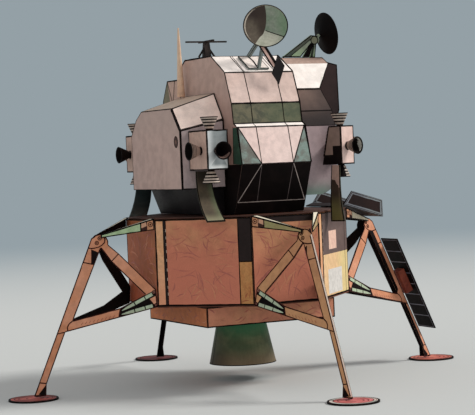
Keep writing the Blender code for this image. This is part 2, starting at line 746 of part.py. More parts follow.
def ascent_stage(col):
    white = material("cabin_card", (0.66, 0.55, 0.50), 0.7)
    grey = material("cheek_card", (0.55, 0.45, 0.41), 0.7)
    shade = material("right_cheek_card", (0.40, 0.33, 0.33), 0.7)
    pale = material("midsection_card", (0.75, 0.68, 0.64), 0.7)
    dark = material("tank_bay_card", (0.12, 0.07, 0.06), 0.7)
    black = material("black_base_card", (0.03, 0.02, 0.02), 0.6)
    silver = material("quad_card", (0.45, 0.40, 0.38), 0.5)
    olive = material("deflector_card", (0.20, 0.19, 0.13), 0.6)
    pole_mat = material("pole_card", (0.62, 0.47, 0.36), 0.7)
    green = material("dish_card", (0.22, 0.27, 0.20), 0.6)
    coal = material("dish_back_card", (0.02, 0.02, 0.02), 0.5)

    foot = FIT
    cabin_under = BASE_H + FIT
    section = [(RIDGE_Y, RIDGE_Z), (BROW_Y, RIDGE_Z - BROW_DROP),
               (BAND_TOP_Y, RIDGE_Z - BAND_TOP_DROP), (LEDGE_TOP_Y, LEDGE_TOP_Z),
               (LEDGE_LIP_Y, LEDGE_TOP_Z - LEDGE_LIP_DROP), (NOSE_Y, NOSE_Z),
               (CHIN_Y, CHIN_Z), (CABIN_FOOT_Y, foot), (-BASE_FRONT - FIT, foot),
               (-BASE_FRONT - FIT, cabin_under), (CABIN_BACK_Y, cabin_under),
               (CABIN_BACK_Y, RIDGE_Z - CABIN_BACK_DROP),
               (CABIN_BACK_Y - CABIN_BACK_RUN, RIDGE_Z)]
    prism("cabin", section, -CABIN_HALF, CABIN_HALF, "X", col, white)

    t = BASE_TAPER
    top = [(-BASE_LEFT, -BASE_FRONT), (CABIN_HALF, -BASE_FRONT), (CABIN_HALF, BASE_BACK),
           (-BASE_LEFT, BASE_BACK)]
    low = [(-BASE_LEFT + t, -BASE_FRONT), (CABIN_HALF - t, -BASE_FRONT),
           (CABIN_HALF - t, BASE_BACK - t), (-BASE_LEFT + t, BASE_BACK - t)]
    loft("ascent_base", [(x, y, foot) for x, y in low],
         [(x, y, BASE_H) for x, y in top], col, black)

    side = CABIN_HALF + FIT
    loft("cheek_left", cheek_ring(-CHEEK_OUT, 0, 0, cabin_under),
         cheek_ring(-side, CHEEK_RISE, CHEEK_FRONT_RISE, cabin_under), col, grey)

    right_top = RIDGE_Z - RIGHT_CHEEK_DROP
    right = [(-CHEEK_FRONT, RIGHT_CHEEK_FOOT), (-CHEEK_FRONT, CHEEK_FOLD_Z),
             (-CHEEK_FRONT + 2.3, CHEEK_FOLD_Z + 6.0),
             (-RIGHT_CHEEK_ROOF_FRONT, right_top), (CHEEK_BACK_TOP, right_top),
             (CHEEK_BACK, CHEEK_BACK_FOLD_Z + 4.0), (CHEEK_BACK, RIGHT_CHEEK_FOOT)]
    cheek = prism("cheek_right", right, side, CHEEK_OUT + 0.5, "X", col, shade)
    bm = bmesh.new()
    bm.from_mesh(cheek.data)
    edges = [e for e in bm.edges
             if all(abs(v.co.z - RIGHT_CHEEK_FOOT * MM) < 1e-5
                    and v.co.x > (CHEEK_OUT + 0.4) * MM for v in e.verts)]
    bmesh.ops.bevel(bm, geom=edges, offset=RIGHT_CHEEK_ROUND * MM, segments=8,
                    profile=0.5, affect="EDGES")
    bm.to_mesh(cheek.data)
    bm.free()

    mid_foot = right_top + FIT
    panel_top = RIDGE_Z - MID_STRIP_DROP
    def mid_ring(x_top, x_low):
        return [(x_low, -MID_FRONT_FOOT, mid_foot), (x_top, -MID_FRONT_TOP, panel_top),
                (x_top, MID_STRIP_BACK, RIDGE_Z), (x_top, CABIN_BACK_Y, RIDGE_Z),
                (x_low, CABIN_BACK_Y, mid_foot)]
    loft("midsection_right", mid_ring(side, side), mid_ring(MID_TOP_OUT, MID_FOOT_OUT),
         col, pale)
    inner = CHEEK_OUT + 0.5 + FIT
    bay_top = RIDGE_Z - BAY_DROP
    bay_foot = bay_top - BAY_H
    bay = [(inner, bay_foot), (BAY_OUT - 2.0, bay_foot), (BAY_OUT + 0.3, bay_foot + 7.0),
           (BAY_OUT, bay_top), (MID_TOP_OUT + 0.7, RIDGE_Z - 2.0), (inner, mid_foot)]
    prism("tank_bay_right", [(z, x) for x, z in reversed(bay)], BAY_FRONT, BAY_BACK, "Y",
          col, dark)
    back = CABIN_BACK_Y + FIT
    rear_top = RIDGE_Z - REAR_DROP
    rear = [(back, cabin_under), (REAR_BACK, cabin_under),
            (REAR_BACK, rear_top - REAR_SLOPE_H), (REAR_TOP_BACK, rear_top), (back, rear_top)]
    prism("rear_bay", rear, -CABIN_HALF, CABIN_HALF, "X", col, grey)

    for name, x, s, nozzle_in in (("front_left", -QUAD_LEFT_X, -1, QUAD_NOZZLE_IN),
                                  ("rear_left", -QUAD_LEFT_X, 1, QUAD_REAR_NOZZLE_IN),
                                  ("rear_right", QUAD_RIGHT_X, 1, QUAD_REAR_NOZZLE_IN)):
        depth = QUAD_FACE_Y - FIT - (CHEEK_FRONT if s < 0 else CHEEK_BACK)
        quad("thruster_quad_" + name, (x, s * QUAD_FACE_Y), s, (QUAD_W, depth, depth),
             nozzle_in, col, silver)
        strip = x + (DEFLECTOR_OUT if x > 0 else -DEFLECTOR_OUT)
        ends = []
        for wide, y in ((DEFLECTOR_TOP_W, DEFLECTOR_IN),
                        (DEFLECTOR_END_W, DEFLECTOR_IN + DEFLECTOR_CURL)):
            ends.append([(strip - wide / 2, s * y), (strip + wide / 2, s * y)])
        deflector("plume_deflector_" + name, ends[0], ends[1], DEFLECTOR_BELOW, col, olive)
    turned_quad(col, silver, olive)

    pole_x = -(CABIN_HALF + POLE_OFF)
    roof = CHEEK_ROOF_Z + CHEEK_RISE * (CHEEK_OUT + pole_x + POLE_R) / (CHEEK_OUT - side)
    pole_foot = roof + FIT
    bm = bmesh.new()
    bmesh.ops.create_cone(bm, cap_ends=True, segments=20, radius1=POLE_R * MM,
                          radius2=POLE_TIP_R * MM, depth=(POLE_TIP_Z - pole_foot) * MM)
    bmesh.ops.translate(bm, vec=(pole_x * MM, POLE_Y * MM,
                                 (POLE_TIP_Z + pole_foot) / 2 * MM), verts=bm.verts)
    mesh = bpy.data.meshes.new("pole_antenna")
    bm.to_mesh(mesh)
    bm.free()
    new_object("pole_antenna", mesh, col, pole_mat)

    stand_foot = RIDGE_Z + FIT
    cross_z = RIDGE_Z + CROSS_RISE
    w = CROSS_STAND_W / 2
    low = [(CROSS_X - w, CROSS_Y - w, stand_foot), (CROSS_X + w, CROSS_Y - w, stand_foot),
           (CROSS_X + w, CROSS_Y + w, stand_foot), (CROSS_X - w, CROSS_Y + w, stand_foot)]
    top = [(CROSS_X + (x - CROSS_X) * 0.7, CROSS_Y + (y - CROSS_Y) * 0.7, cross_z)
           for x, y, z in low]
    cross = loft("cross_antenna", low, top, col, coal)
    united(cross, [
        box("arm_long", (CROSS_X, CROSS_Y, cross_z), (CROSS_LONG, CROSS_BAR * 1.6, CROSS_BAR),
            col, coal),
        box("arm_short", (CROSS_X, CROSS_Y, cross_z + 0.17), (CROSS_BAR * 1.6, CROSS_SHORT,
                                                             CROSS_BAR), col, coal),
        bar("leg_a", (CROSS_X - 3.4, CROSS_Y, stand_foot + 0.1), (CROSS_X, CROSS_Y, cross_z - 1),
            0.6, 0.6, (0, 1, 0), col, coal),
        bar("leg_b", (CROSS_X + 3.4, CROSS_Y, stand_foot + 0.1), (CROSS_X, CROSS_Y, cross_z - 1),
            0.6, 0.6, (0, 1, 0), col, coal)])

    radar(col, green, pale, coal)
    steerable(col, green, coal)
    for obj in col.objects:
        obj.location.z = DECK_TOP * MM


def roof_z(y):
    """Height of the sloping cabin roof at y."""
    return RIDGE_Z - BROW_DROP * (y - RIDGE_Y) / (BROW_Y - RIDGE_Y)


def radar(col, dish_mat, plate_mat, diamond_mat):
    """Front dish on two legs over a base plate, with its brace and diamond plate."""
    centre = Vector((RADAR_X, RIDGE_Y - RADAR_FORWARD, RIDGE_Z + RADAR_RISE))
    aim = Vector(RADAR_AIM).normalized()
    apex = centre - aim * DISH_DEPTH
    cone_cup("radar_dish", apex, aim, DISH_DEPTH, DISH_R, 0.5, 0.4, 40, col, dish_mat)

    hub = apex - aim * 1.6
    hub_box = box("radar_stand", hub, (2.0, 2.0, 2.0), col, plate_mat)
    slope = math.atan2(BROW_DROP, RIDGE_Y - BROW_Y)
    normal = Vector((0, -math.sin(slope), math.cos(slope)))
    mid_y = RIDGE_Y - (RADAR_FOOT_BACK + RADAR_FOOT_FRONT) / 2
    plate_c = Vector((RADAR_FEET_X, mid_y, roof_z(mid_y))) + normal * (FIT + CARD / 2)
    turn = Matrix(((1, 0, 0), (0, math.cos(slope), math.sin(slope)), normal)).transposed()
    plate_long = RADAR_FOOT_FRONT - RADAR_FOOT_BACK + 2.0
    plate = box("plate", plate_c, (RADAR_PLATE_W, plate_long, CARD), col, plate_mat, turn)
    parts = [plate]
    for i, forward in enumerate((RADAR_FOOT_BACK, RADAR_FOOT_FRONT)):
        foot_y = RIDGE_Y - forward
        start = Vector((RADAR_FEET_X, foot_y, roof_z(foot_y))) + normal * (FIT + CARD * 0.6)
        parts.append(bar("leg%d" % i, start, hub, RADAR_LEG_W, CARD * 2, (1, 0, 0), col,
                         plate_mat))
    united(hub_box, parts)

    d = Vector((DIAMOND_X, RIDGE_Y - DIAMOND_FORWARD, RIDGE_Z - DIAMOND_DROP))
    w, h = DIAMOND_HALF_W, DIAMOND_HALF_H
    ring = [(d.x, d.y, d.z + h), (d.x + w, d.y, d.z + DIAMOND_SHEAR), (d.x, d.y, d.z - h),
            (d.x - w, d.y, d.z - DIAMOND_SHEAR)]
    diamond = loft("radar_brace", ring, [(x, y - CARD, z) for x, y, z in ring], col,
                   diamond_mat)
    united(diamond, [bar("strap", centre + Vector(STRAP_START), d + Vector(STRAP_END),
                         STRAP_W, CARD, (0, -1, 0.3), col, diamond_mat)])


def steerable(col, arm_mat, dish_mat):
    """Rear dish that faces outwards, held by a hub on three card arms."""
    centre = Vector((STEER_X, STEER_Y, RIDGE_Z + STEER_RISE))
    aim = Vector(STEER_AIM).normalized()
    apex = centre - aim * DISH_DEPTH
    cone_cup("steerable_dish", apex, aim, DISH_DEPTH, DISH_R, 0.5, 0.4, 40, col, dish_mat)
    hub = apex - aim * (STEER_HUB_R + FIT)
    hub -= Vector((STEER_HUB_BACK, 0.0, STEER_HUB_DROP))
    bm = bmesh.new()
    bmesh.ops.create_cone(bm, cap_ends=True, segments=20, radius1=STEER_HUB_R * MM,
                          radius2=STEER_HUB_R * MM, depth=2.4 * MM)
    bmesh.ops.rotate(bm, cent=(0, 0, 0), matrix=Matrix.Rotation(math.pi / 2, 3, "X"),
                     verts=bm.verts)
    bmesh.ops.translate(bm, vec=hub * MM, verts=bm.verts)
    mesh = bpy.data.meshes.new("steerable_mount")
    bm.to_mesh(mesh)
    bm.free()
    mount = new_object("steerable_mount", mesh, col, arm_mat)
    parts = []
    for i, (feet, tops) in enumerate(STEER_ARMS):
        outline = [(RIDGE_Z + FIT, hub.x + x) for x in feet]
        outline += [(hub.z + z, hub.x + x) for x, z in tops]
        mid = hub.y + (i - 1) * 1.2
        parts.append(prism("arm%d" % i, outline, mid - CARD, mid + CARD, "Y", col, arm_mat))
    parts.append(bar("axle", hub, apex - aim * (FIT + STEER_AXLE_W / 4), STEER_AXLE_W,
                     STEER_AXLE_W, (0, 1, 0), col, arm_mat))
    united(mount, parts)


def main():
    for obj in list(bpy.data.objects):
        bpy.data.objects.remove(obj)
    for name, stage in (("descent", descent_stage), ("ascent", ascent_stage)):
        collection = bpy.data.collections.new(name)
        bpy.context.scene.collection.children.link(collection)
        stage(collection)


main()
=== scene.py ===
"""Folded card lunar lander: printed sheets, ink lines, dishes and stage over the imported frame."""
import json
import math
import random

import bmesh
import bpy
from bpy.props import FloatProperty, FloatVectorProperty, PointerProperty
from mathutils import Matrix, Quaternion, Vector, noise

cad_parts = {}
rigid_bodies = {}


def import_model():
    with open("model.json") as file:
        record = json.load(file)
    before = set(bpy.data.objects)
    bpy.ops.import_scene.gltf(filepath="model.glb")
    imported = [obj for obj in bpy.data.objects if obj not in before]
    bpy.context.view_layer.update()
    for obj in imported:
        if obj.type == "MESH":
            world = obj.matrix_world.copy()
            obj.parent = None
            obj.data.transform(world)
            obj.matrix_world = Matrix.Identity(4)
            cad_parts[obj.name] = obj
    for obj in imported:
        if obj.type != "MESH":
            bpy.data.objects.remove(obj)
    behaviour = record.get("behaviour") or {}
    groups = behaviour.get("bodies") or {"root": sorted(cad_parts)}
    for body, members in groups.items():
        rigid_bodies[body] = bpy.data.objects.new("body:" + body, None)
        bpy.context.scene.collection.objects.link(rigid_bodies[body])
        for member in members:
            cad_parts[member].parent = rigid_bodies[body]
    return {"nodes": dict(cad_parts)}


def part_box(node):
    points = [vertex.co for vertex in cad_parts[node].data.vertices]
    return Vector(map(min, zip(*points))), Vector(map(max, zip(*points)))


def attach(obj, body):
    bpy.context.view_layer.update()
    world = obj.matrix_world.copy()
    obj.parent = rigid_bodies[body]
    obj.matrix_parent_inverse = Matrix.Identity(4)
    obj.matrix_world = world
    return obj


bl_info = {
    "name": "Folded card lander",
    "version": (1, 0, 0),
    "blender": (4, 5, 0),
    "location": "View3D > Sidebar > Lander",
    "description": "Prints, ink lines and stage for a folded card lunar lander",
    "category": "Object",
}

for leftover in list(bpy.data.objects):
    bpy.data.objects.remove(leftover)
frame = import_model()
NODES = frame["nodes"]
MM = 0.001
UP = Vector((0.0, 0.0, 1.0))

# Printed layers lie this far over the card, in millimetres
UNDER_PRINT = 0.02
PRINT = 0.035
OVER_PRINT = 0.05
INK = 0.065
TOP_INK = 0.08

# Brush strokes lie at several levels that are this far apart
STROKE_STEP = 0.0009
STROKE_LEVELS = 16

# Ink lines wander in steps of about this length, and those under the second are left out
LINE_STEP = 2.2
SHORTEST_LINE = 0.05
FOLD_ANGLE = math.radians(20)
FIBRE_DEPTH = 0.04 * MM


def srgb(red, green, blue):
    """Linear colour of a display colour given from 0 to 255."""
    out = []
    for value in (red, green, blue):
        value = value / 255.0
        out.append(value / 12.92 if value <= 0.04045 else ((value + 0.055) / 1.055) ** 2.4)
    return tuple(out)


def tint(name, description, red, green, blue):
    return FloatVectorProperty(name=name, description=description, subtype="COLOR", size=3,
                               min=0.0, max=1.0, default=srgb(red, green, blue))


def width(name, description, millimetres):
    return FloatProperty(name=name, description=description, default=millimetres * MM,
                         min=0.0, soft_max=0.005, precision=5, unit="LENGTH")


class LanderColours(bpy.types.PropertyGroup):
    """Colours of the printed sheets"""
    cream: tint("Cabin cream", "Front panels and roof of the cabin", 216, 192, 184)
    mauve: tint("Side mauve", "Side plates of the ascent stage", 190, 162, 152)
    lilac: tint("Cheek lilac", "Lower front of the cheeks", 190, 172, 172)
    olive: tint("Olive band", "Band under the brow of the cabin", 104, 112, 92)
    glass: tint("Window glass", "Triangular windows", 130, 148, 142)
    foil: tint("Foil tan", "Upper part of the descent walls", 196, 138, 102)
    rose: tint("Foil rose", "Lower part of the descent walls", 198, 118, 96)
    leg: tint("Leg orange", "Outer faces of the legs", 214, 152, 122)
    pale_green: tint("Pale green", "Outrigger arms and fork blades", 176, 200, 160)
    brown: tint("Shade brown", "Dark printed panels", 37, 25, 23)
    black: tint("Ink black", "Fold lines and black sheets", 15, 10, 10)
    pad: tint("Pad salmon", "Upper side of the footpads", 205, 118, 100)


class LanderSizes(bpy.types.PropertyGroup):
    """Widths of the printed lines"""
    fold: width("Fold line", "Ink line along a fold", 0.42)
    heavy: width("Heavy line", "Ink line round a large panel", 0.62)
    hair: width("Hair line", "Thin line inside a panel", 0.26)
    wobble: FloatProperty(name="Hand wobble", description="Share by which an ink line's "
                          "width wanders", default=0.22, min=0.0, max=0.6, subtype="FACTOR")


class LanderStage(bpy.types.PropertyGroup):
    """Floor, backdrop, light and lens"""
    floor: tint("Floor", "Colour of the floor", 190, 194, 195)
    backdrop: tint("Backdrop", "Plain colour behind the model", 148, 160, 166)
    lamp: FloatProperty(name="Lamp", description="Strength of the soft lamp", default=2.6,
                        min=0.0, soft_max=10.0)
    fill: FloatProperty(name="Fill", description="Strength of the light from all round",
                        default=0.62, min=0.0, soft_max=3.0)
    lens: FloatProperty(name="Lens", description="Focal length of the camera in millimetres",
                        default=129.743, min=10.0, soft_max=300.0)


# Shader building blocks


def add(tree, kind, inputs=None, **settings):
    """One node, its settings, and its inputs as values or sockets to link."""
    made = tree.nodes.new(kind)
    for key, value in settings.items():
        setattr(made, key, value)
    for key, value in (inputs or {}).items():
        if isinstance(value, bpy.types.NodeSocket):
            tree.links.new(value, made.inputs[key])
        else:
            made.inputs[key].default_value = value
    return made


def mixed(tree, factor, first, second, mode="MIX"):
    pair = []
    for value in (first, second):
        is_socket = isinstance(value, bpy.types.NodeSocket)
        pair.append(value if is_socket else (*value[:3], 1.0))
    made = add(tree, "ShaderNodeMix", {0: factor, 6: pair[0], 7: pair[1]},
               data_type="RGBA", blend_type=mode)
    return made.outputs[2]


def maths(tree, operation, first, second=0.0):
    return add(tree, "ShaderNodeMath", {0: first, 1: second}, operation=operation).outputs[0]


def ranged(tree, value, low, high, out_low=0.0, out_high=1.0):
    made = add(tree, "ShaderNodeMapRange", {"Value": value, "From Min": low, "From Max": high,
                                            "To Min": out_low, "To Max": out_high},
               interpolation_type="SMOOTHSTEP")
    return made.outputs[0]


def new_group(name, inputs, outputs):
    tree = bpy.data.node_groups.new(name, "ShaderNodeTree")
    for label, kind, value in inputs:
        socket = tree.interface.new_socket(name=label, in_out="INPUT", socket_type=kind)
        if value is not None:
            socket.default_value = value
    for label, kind in outputs:
        tree.interface.new_socket(name=label, in_out="OUTPUT", socket_type=kind)
    return tree, tree.nodes.new("NodeGroupInput").outputs, tree.nodes.new("NodeGroupOutput")


def paper_grain_group():
    """Fibre of the card: a tone from 0 to 1 and a height for the bump."""
    if "paper_grain" in bpy.data.node_groups:
        return bpy.data.node_groups["paper_grain"]
    tree, given, out = new_group(
        "paper_grain",
        [("Position", "NodeSocketVector", None), ("Fibre scale", "NodeSocketFloat", 2600.0)],
        [("Tone", "NodeSocketFloat"), ("Height", "NodeSocketFloat")])
    fine = add(tree, "ShaderNodeTexNoise", {"Vector": given["Position"],
                                            "Scale": given["Fibre scale"], "Detail": 5.0,
                                            "Roughness": 0.62})
    coarse_scale = maths(tree, "MULTIPLY", given["Fibre scale"], 0.09)
    coarse = add(tree, "ShaderNodeTexNoise", {"Vector": given["Position"],
                                              "Scale": coarse_scale, "Detail": 2.0})
    tone = ranged(tree, fine.outputs["Fac"], 0.3, 0.7)
    height = maths(tree, "ADD", tone, coarse.outputs["Fac"])
    tree.links.new(tone, out.inputs["Tone"])
    tree.links.new(height, out.inputs["Height"])
    return tree


def hand_tint_group():
    """Brushed colour: one colour that drifts into a second in soft patches."""
    if "hand_tint" in bpy.data.node_groups:
        return bpy.data.node_groups["hand_tint"]
    tree, given, out = new_group(
        "hand_tint",
        [("Position", "NodeSocketVector", None), ("Colour", "NodeSocketColor", None),
         ("Second colour", "NodeSocketColor", None), ("Patch scale", "NodeSocketFloat", 110.0),
         ("Amount", "NodeSocketFloat", 0.6)],
        [("Colour", "NodeSocketColor")])
    patches = add(tree, "ShaderNodeTexNoise", {"Vector": given["Position"],
                                               "Scale": given["Patch scale"], "Detail": 3.0,
                                               "Roughness": 0.55, "Distortion": 0.7})
    mask = maths(tree, "MULTIPLY", ranged(tree, patches.outputs["Fac"], 0.36, 0.66),
                 given["Amount"])
    base = mixed(tree, mask, given["Colour"], given["Second colour"])
    fleck_scale = maths(tree, "MULTIPLY", given["Patch scale"], 6.5)
    flecks = add(tree, "ShaderNodeTexNoise", {"Vector": given["Position"],
                                              "Scale": fleck_scale, "Detail": 2.0})
    value = ranged(tree, flecks.outputs["Fac"], 0.3, 0.7, 0.9, 1.07)
    grey = add(tree, "ShaderNodeCombineColor", {0: value, 1: value, 2: value}).outputs[0]
    tree.links.new(mixed(tree, 1.0, base, grey, "MULTIPLY"), out.inputs["Colour"])
    return tree


def print_fade_group():
    """Colour that blends into another along one axis, with an edge that wanders."""
    if "print_fade" in bpy.data.node_groups:
        return bpy.data.node_groups["print_fade"]
    tree, given, out = new_group(
        "print_fade",
        [("Colour", "NodeSocketColor", None), ("Toward", "NodeSocketColor", None),
         ("Along", "NodeSocketFloat", 0.0), ("Position", "NodeSocketVector", None),
         ("Patch scale", "NodeSocketFloat", 110.0), ("Low", "NodeSocketFloat", 0.0),
         ("High", "NodeSocketFloat", 1.0), ("Share at low", "NodeSocketFloat", 0.0),
         ("Share at high", "NodeSocketFloat", 1.0)],
        [("Colour", "NodeSocketColor")])
    cloud = add(tree, "ShaderNodeTexNoise",
                {"Vector": given["Position"],
                 "Scale": maths(tree, "MULTIPLY", given["Patch scale"], 1.3), "Detail": 3.0})
    wander = maths(tree, "SUBTRACT", cloud.outputs["Fac"], 0.5)
    spread = maths(tree, "MULTIPLY", maths(tree, "SUBTRACT", given["High"], given["Low"]), 0.35)
    along = maths(tree, "ADD", given["Along"], maths(tree, "MULTIPLY", wander, spread))
    share = ranged(tree, along, given["Low"], given["High"], given["Share at low"],
                   given["Share at high"])
    tree.links.new(mixed(tree, share, given["Colour"], given["Toward"]), out.inputs["Colour"])
    return tree


def faded(tree, shade, place, patch, fade):
    """The colour so far, faded along u or v of a panel or x, y or z of the model."""
    toward, axis, start, end, strength = fade
    if axis in "uv":
        source, axes = add(tree, "ShaderNodeUVMap", {}, uv_map="print").outputs[0], "uv"
    else:
        source, axes = place, "xyz"
        start, end = start * MM, end * MM
    along = add(tree, "ShaderNodeSeparateXYZ", {0: source}).outputs[axes.index(axis)]
    (low, low_share), (high, high_share) = sorted(((start, 0.0), (end, strength)))
    return add(tree, "ShaderNodeGroup",
               {"Colour": shade, "Toward": (*toward, 1.0), "Along": along, "Position": place,
                "Patch scale": patch, "Low": low, "High": high, "Share at low": low_share,
                "Share at high": high_share}, node_tree=print_fade_group()).outputs[0]


def card(name, colour, second=None, amount=0.6, patch=110.0, fades=(), rough=0.62,
         bump=0.35, shine=0.2):
    """Printed card. fades are (colour, axis, start, end, strength), with axis u or v of the
    panel or x, y or z of the model in millimetres."""
    if name in bpy.data.materials:
        return bpy.data.materials[name]
    mat = bpy.data.materials.new(name)
    mat.use_nodes = True
    tree = mat.node_tree
    shader = tree.nodes["Principled BSDF"]
    place = add(tree, "ShaderNodeTexCoord").outputs["Object"]
    grain = add(tree, "ShaderNodeGroup", {"Position": place}, node_tree=paper_grain_group())
    shade = add(tree, "ShaderNodeGroup",
                {"Position": place, "Colour": (*colour[:3], 1.0),
                 "Second colour": (*(second or colour)[:3], 1.0), "Patch scale": patch,
                 "Amount": amount}, node_tree=hand_tint_group()).outputs["Colour"]
    for fade in fades:
        shade = faded(tree, shade, place, patch, fade)
    tone = ranged(tree, grain.outputs["Tone"], 0.0, 1.0, 0.95, 1.03)
    fibre = add(tree, "ShaderNodeCombineColor", {0: tone, 1: tone, 2: tone}).outputs[0]
    shade = mixed(tree, 1.0, shade, fibre, "MULTIPLY")
    tree.links.new(shade, shader.inputs["Base Color"])
    shader.inputs["Specular IOR Level"].default_value = shine
    gloss = ranged(tree, grain.outputs["Tone"], 0.0, 1.0, rough - 0.07, rough + 0.08)
    tree.links.new(gloss, shader.inputs["Roughness"])
    relief = add(tree, "ShaderNodeBump", {"Height": grain.outputs["Height"],
                                          "Strength": bump, "Distance": FIBRE_DEPTH})
    tree.links.new(relief.outputs[0], shader.inputs["Normal"])
    return mat


def colours():
    return bpy.context.scene.lander_colours


def lines():
    return bpy.context.scene.lander_sizes


def ink_card():
    return card("black_ink", colours().black, srgb(30, 22, 20), 0.5, shine=0.05)


def leg_ink():
    return card("brown_ink", srgb(62, 26, 22), srgb(40, 18, 18), 0.7, shine=0.05)


def black_card():
    return card("black_sheet", colours().black, srgb(30, 21, 20), 0.7, patch=70.0,
                shine=0.06)


def white_ink():
    return card("white_line", srgb(196, 182, 176), srgb(150, 138, 134), 0.8, patch=260.0)


def pen(kind, share=1.0):
    """Width of a kind of ink line, or a share of it, in millimetres."""
    return getattr(lines(), kind) / MM * share


# Flat printed shapes


def pairs(points):
    """Each point with the one after it, and the last with the first."""
    return zip(points, points[1:] + points[:1])


def facing(points, outward):
    """The points in the order that turns their panel outwards."""
    points = [Vector(p) for p in points]
    turn = sum((here.cross(after) for here, after in pairs(points)), Vector())
    if turn.dot(outward) < 0:
        points.reverse()
    return points


def upright(outward):
    """Directions to the right and up in a plane that is seen from outside."""
    up = UP if abs(outward.z) < 0.95 else Vector((0.0, 1.0, 0.0))
    top = (up - outward * up.dot(outward)).normalized()
    return top.cross(outward), top


class Sheet:
    """Flat printed shapes that ride on one body as one piece. Sizes are in millimetres."""

    def __init__(self, name):
        self.name = name
        self.bm = bmesh.new()
        self.uv = self.bm.loops.layers.uv.new("print")
        self.mats = []

    def slot(self, mat):
        if mat not in self.mats:
            self.mats.append(mat)
        return self.mats.index(mat)

    def add_face(self, points, mat):
        verts = [self.bm.verts.new(p * MM) for p in points]
        face = self.bm.faces.new(verts)
        face.material_index = self.slot(mat)
        return face

    def shape(self, points, outward, mat, lift=PRINT):
        """A flat polygon over the card, its print running from 0 to 1 across and up."""
        outward = Vector(outward).normalized()
        points = facing(points, outward)
        right, top = upright(outward)
        us = [p.dot(right) for p in points]
        vs = [p.dot(top) for p in points]
        face = self.add_face([p + outward * lift for p in points], mat)
        for loop, u, v in zip(face.loops, us, vs):
            loop[self.uv].uv = ((u - min(us)) / max(max(us) - min(us), 1e-6),
                                (v - min(vs)) / max(max(vs) - min(vs), 1e-6))
        return face

    def cover(self, facet, mat, lift=PRINT):
        """A print over the whole of a flat face."""
        self.shape(facet.points, facet.normal, mat, lift)

    def line(self, start, end, outward, wide, mat=None, lift=INK, inside=False):
        """A hand-drawn line. inside keeps it on the left of start to end."""
        start, end = Vector(start), Vector(end)
        outward = Vector(outward).normalized()
        along = end - start
        if along.length < SHORTEST_LINE:
            return
        across = outward.cross(along).normalized()
        steps = max(1, round(along.length / LINE_STEP))
        wander = lines().wobble
        rail = []
        for i in range(steps + 1):
            point = start.lerp(end, i / steps)
            here = wide * (1 + wander * 1.6 * noise.noise(point * 0.6 + Vector((7, 3, 1))))
            low = 0.0 if inside else -here / 2
            high = here if inside else here / 2
            rail.append((point + across * low + outward * lift,
                         point + across * high + outward * lift))
        for (a, b), (c, d) in zip(rail, rail[1:]):
            self.add_face([a, c, d, b], mat or ink_card())

    def outline(self, points, outward, wide, mat=None, lift=INK):
        for here, after in pairs(facing(points, Vector(outward))):
            self.line(here, after, outward, wide, mat, lift, inside=True)

    def edge(self, facet, wide):
        """An ink line all round a flat face."""
        self.outline(facet.points, facet.normal, wide)

    def folds(self, facet, wide, sharp, mat=None):
        """Ink lines along the folds of a flat face that turn by more than sharp radians."""
        for (here, after), angle in zip(pairs(facet.points), facet.folds):
            if angle > sharp:
                self.line(here, after, facet.normal, wide, mat, inside=True)

    def ring(self, centre, outward, inner, outer, mat=None, lift=INK, start=0.0,
             turn=math.tau, steps=28):
        """A flat ring, or a part of one that starts at an angle from the right."""
        centre, outward = Vector(centre), Vector(outward).normalized()
        right, top = upright(outward)
        spokes = []
        for i in range(steps + 1):
            angle = start + turn * i / steps
            spokes.append(right * math.cos(angle) + top * math.sin(angle))
        for a, b in zip(spokes, spokes[1:]):
            corners = [centre + a * outer, centre + b * outer]
            corners += [centre + b * inner, centre + a * inner] if inner > 0 else [centre]
            self.add_face([c + outward * lift for c in corners], mat or ink_card())

    def strokes(self, corners, outward, count, seed, mats, reach=(3.0, 9.0), lift=OVER_PRINT):
        """Short tapered brush strokes that run inwards from the edges of a panel. Each lies
        at one of several levels, so that those that cross don't share a plane."""
        pick = random.Random(seed)
        outward = Vector(outward).normalized()
        corners = [Vector(c) for c in corners]
        middle = sum(corners, Vector()) / len(corners)
        for i in range(count):
            level = lift + STROKE_STEP * (i % STROKE_LEVELS)
            side = pick.randrange(len(corners))
            edge = corners[side - 1].lerp(corners[side], pick.random())
            spot = edge.lerp(middle, pick.uniform(0.06, 0.75) ** 1.4)
            along = (middle - edge).normalized()
            along.rotate(Quaternion(outward, pick.uniform(-0.9, 0.9)))
            length = pick.uniform(*reach)
            bend = pick.choice((-1, 1)) * pick.uniform(0.4, 1.1) / length
            thick = pick.uniform(0.12, 0.3)
            rail, point, steps = [], spot - along * length / 2, 7
            for step in range(steps + 1):
                across = outward.cross(along)
                here = thick * math.sin(math.pi * (step + 0.3) / (steps + 0.6))
                rail.append((point - across * here, point + across * here))
                point = point + along * length / steps
                along.rotate(Quaternion(outward, bend * length / steps))
            if not all(inside(corners, outward, p) for pair in rail for p in pair):
                continue
            mat = pick.choice(mats)
            for (a, b), (c, d) in zip(rail, rail[1:]):
                self.add_face([q + outward * level for q in (a, c, d, b)], mat)

    def done(self, body, smooth=False):
        mesh = bpy.data.meshes.new(self.name)
        self.bm.to_mesh(mesh)
        self.bm.free()
        for mat in self.mats:
            mesh.materials.append(mat)
        if smooth:
            mesh.polygons.foreach_set("use_smooth", [True] * len(mesh.polygons))
        piece = bpy.data.objects.new(self.name, mesh)
        bpy.context.scene.collection.objects.link(piece)
        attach(piece, body)
        return piece


def inside(corners, outward, point):
    """Whether a point lies inside a flat convex panel."""
    signs = [(b - a).cross(point - a).dot(outward) for a, b in pairs(corners)]
    return min(signs) > 0 or max(signs) < 0


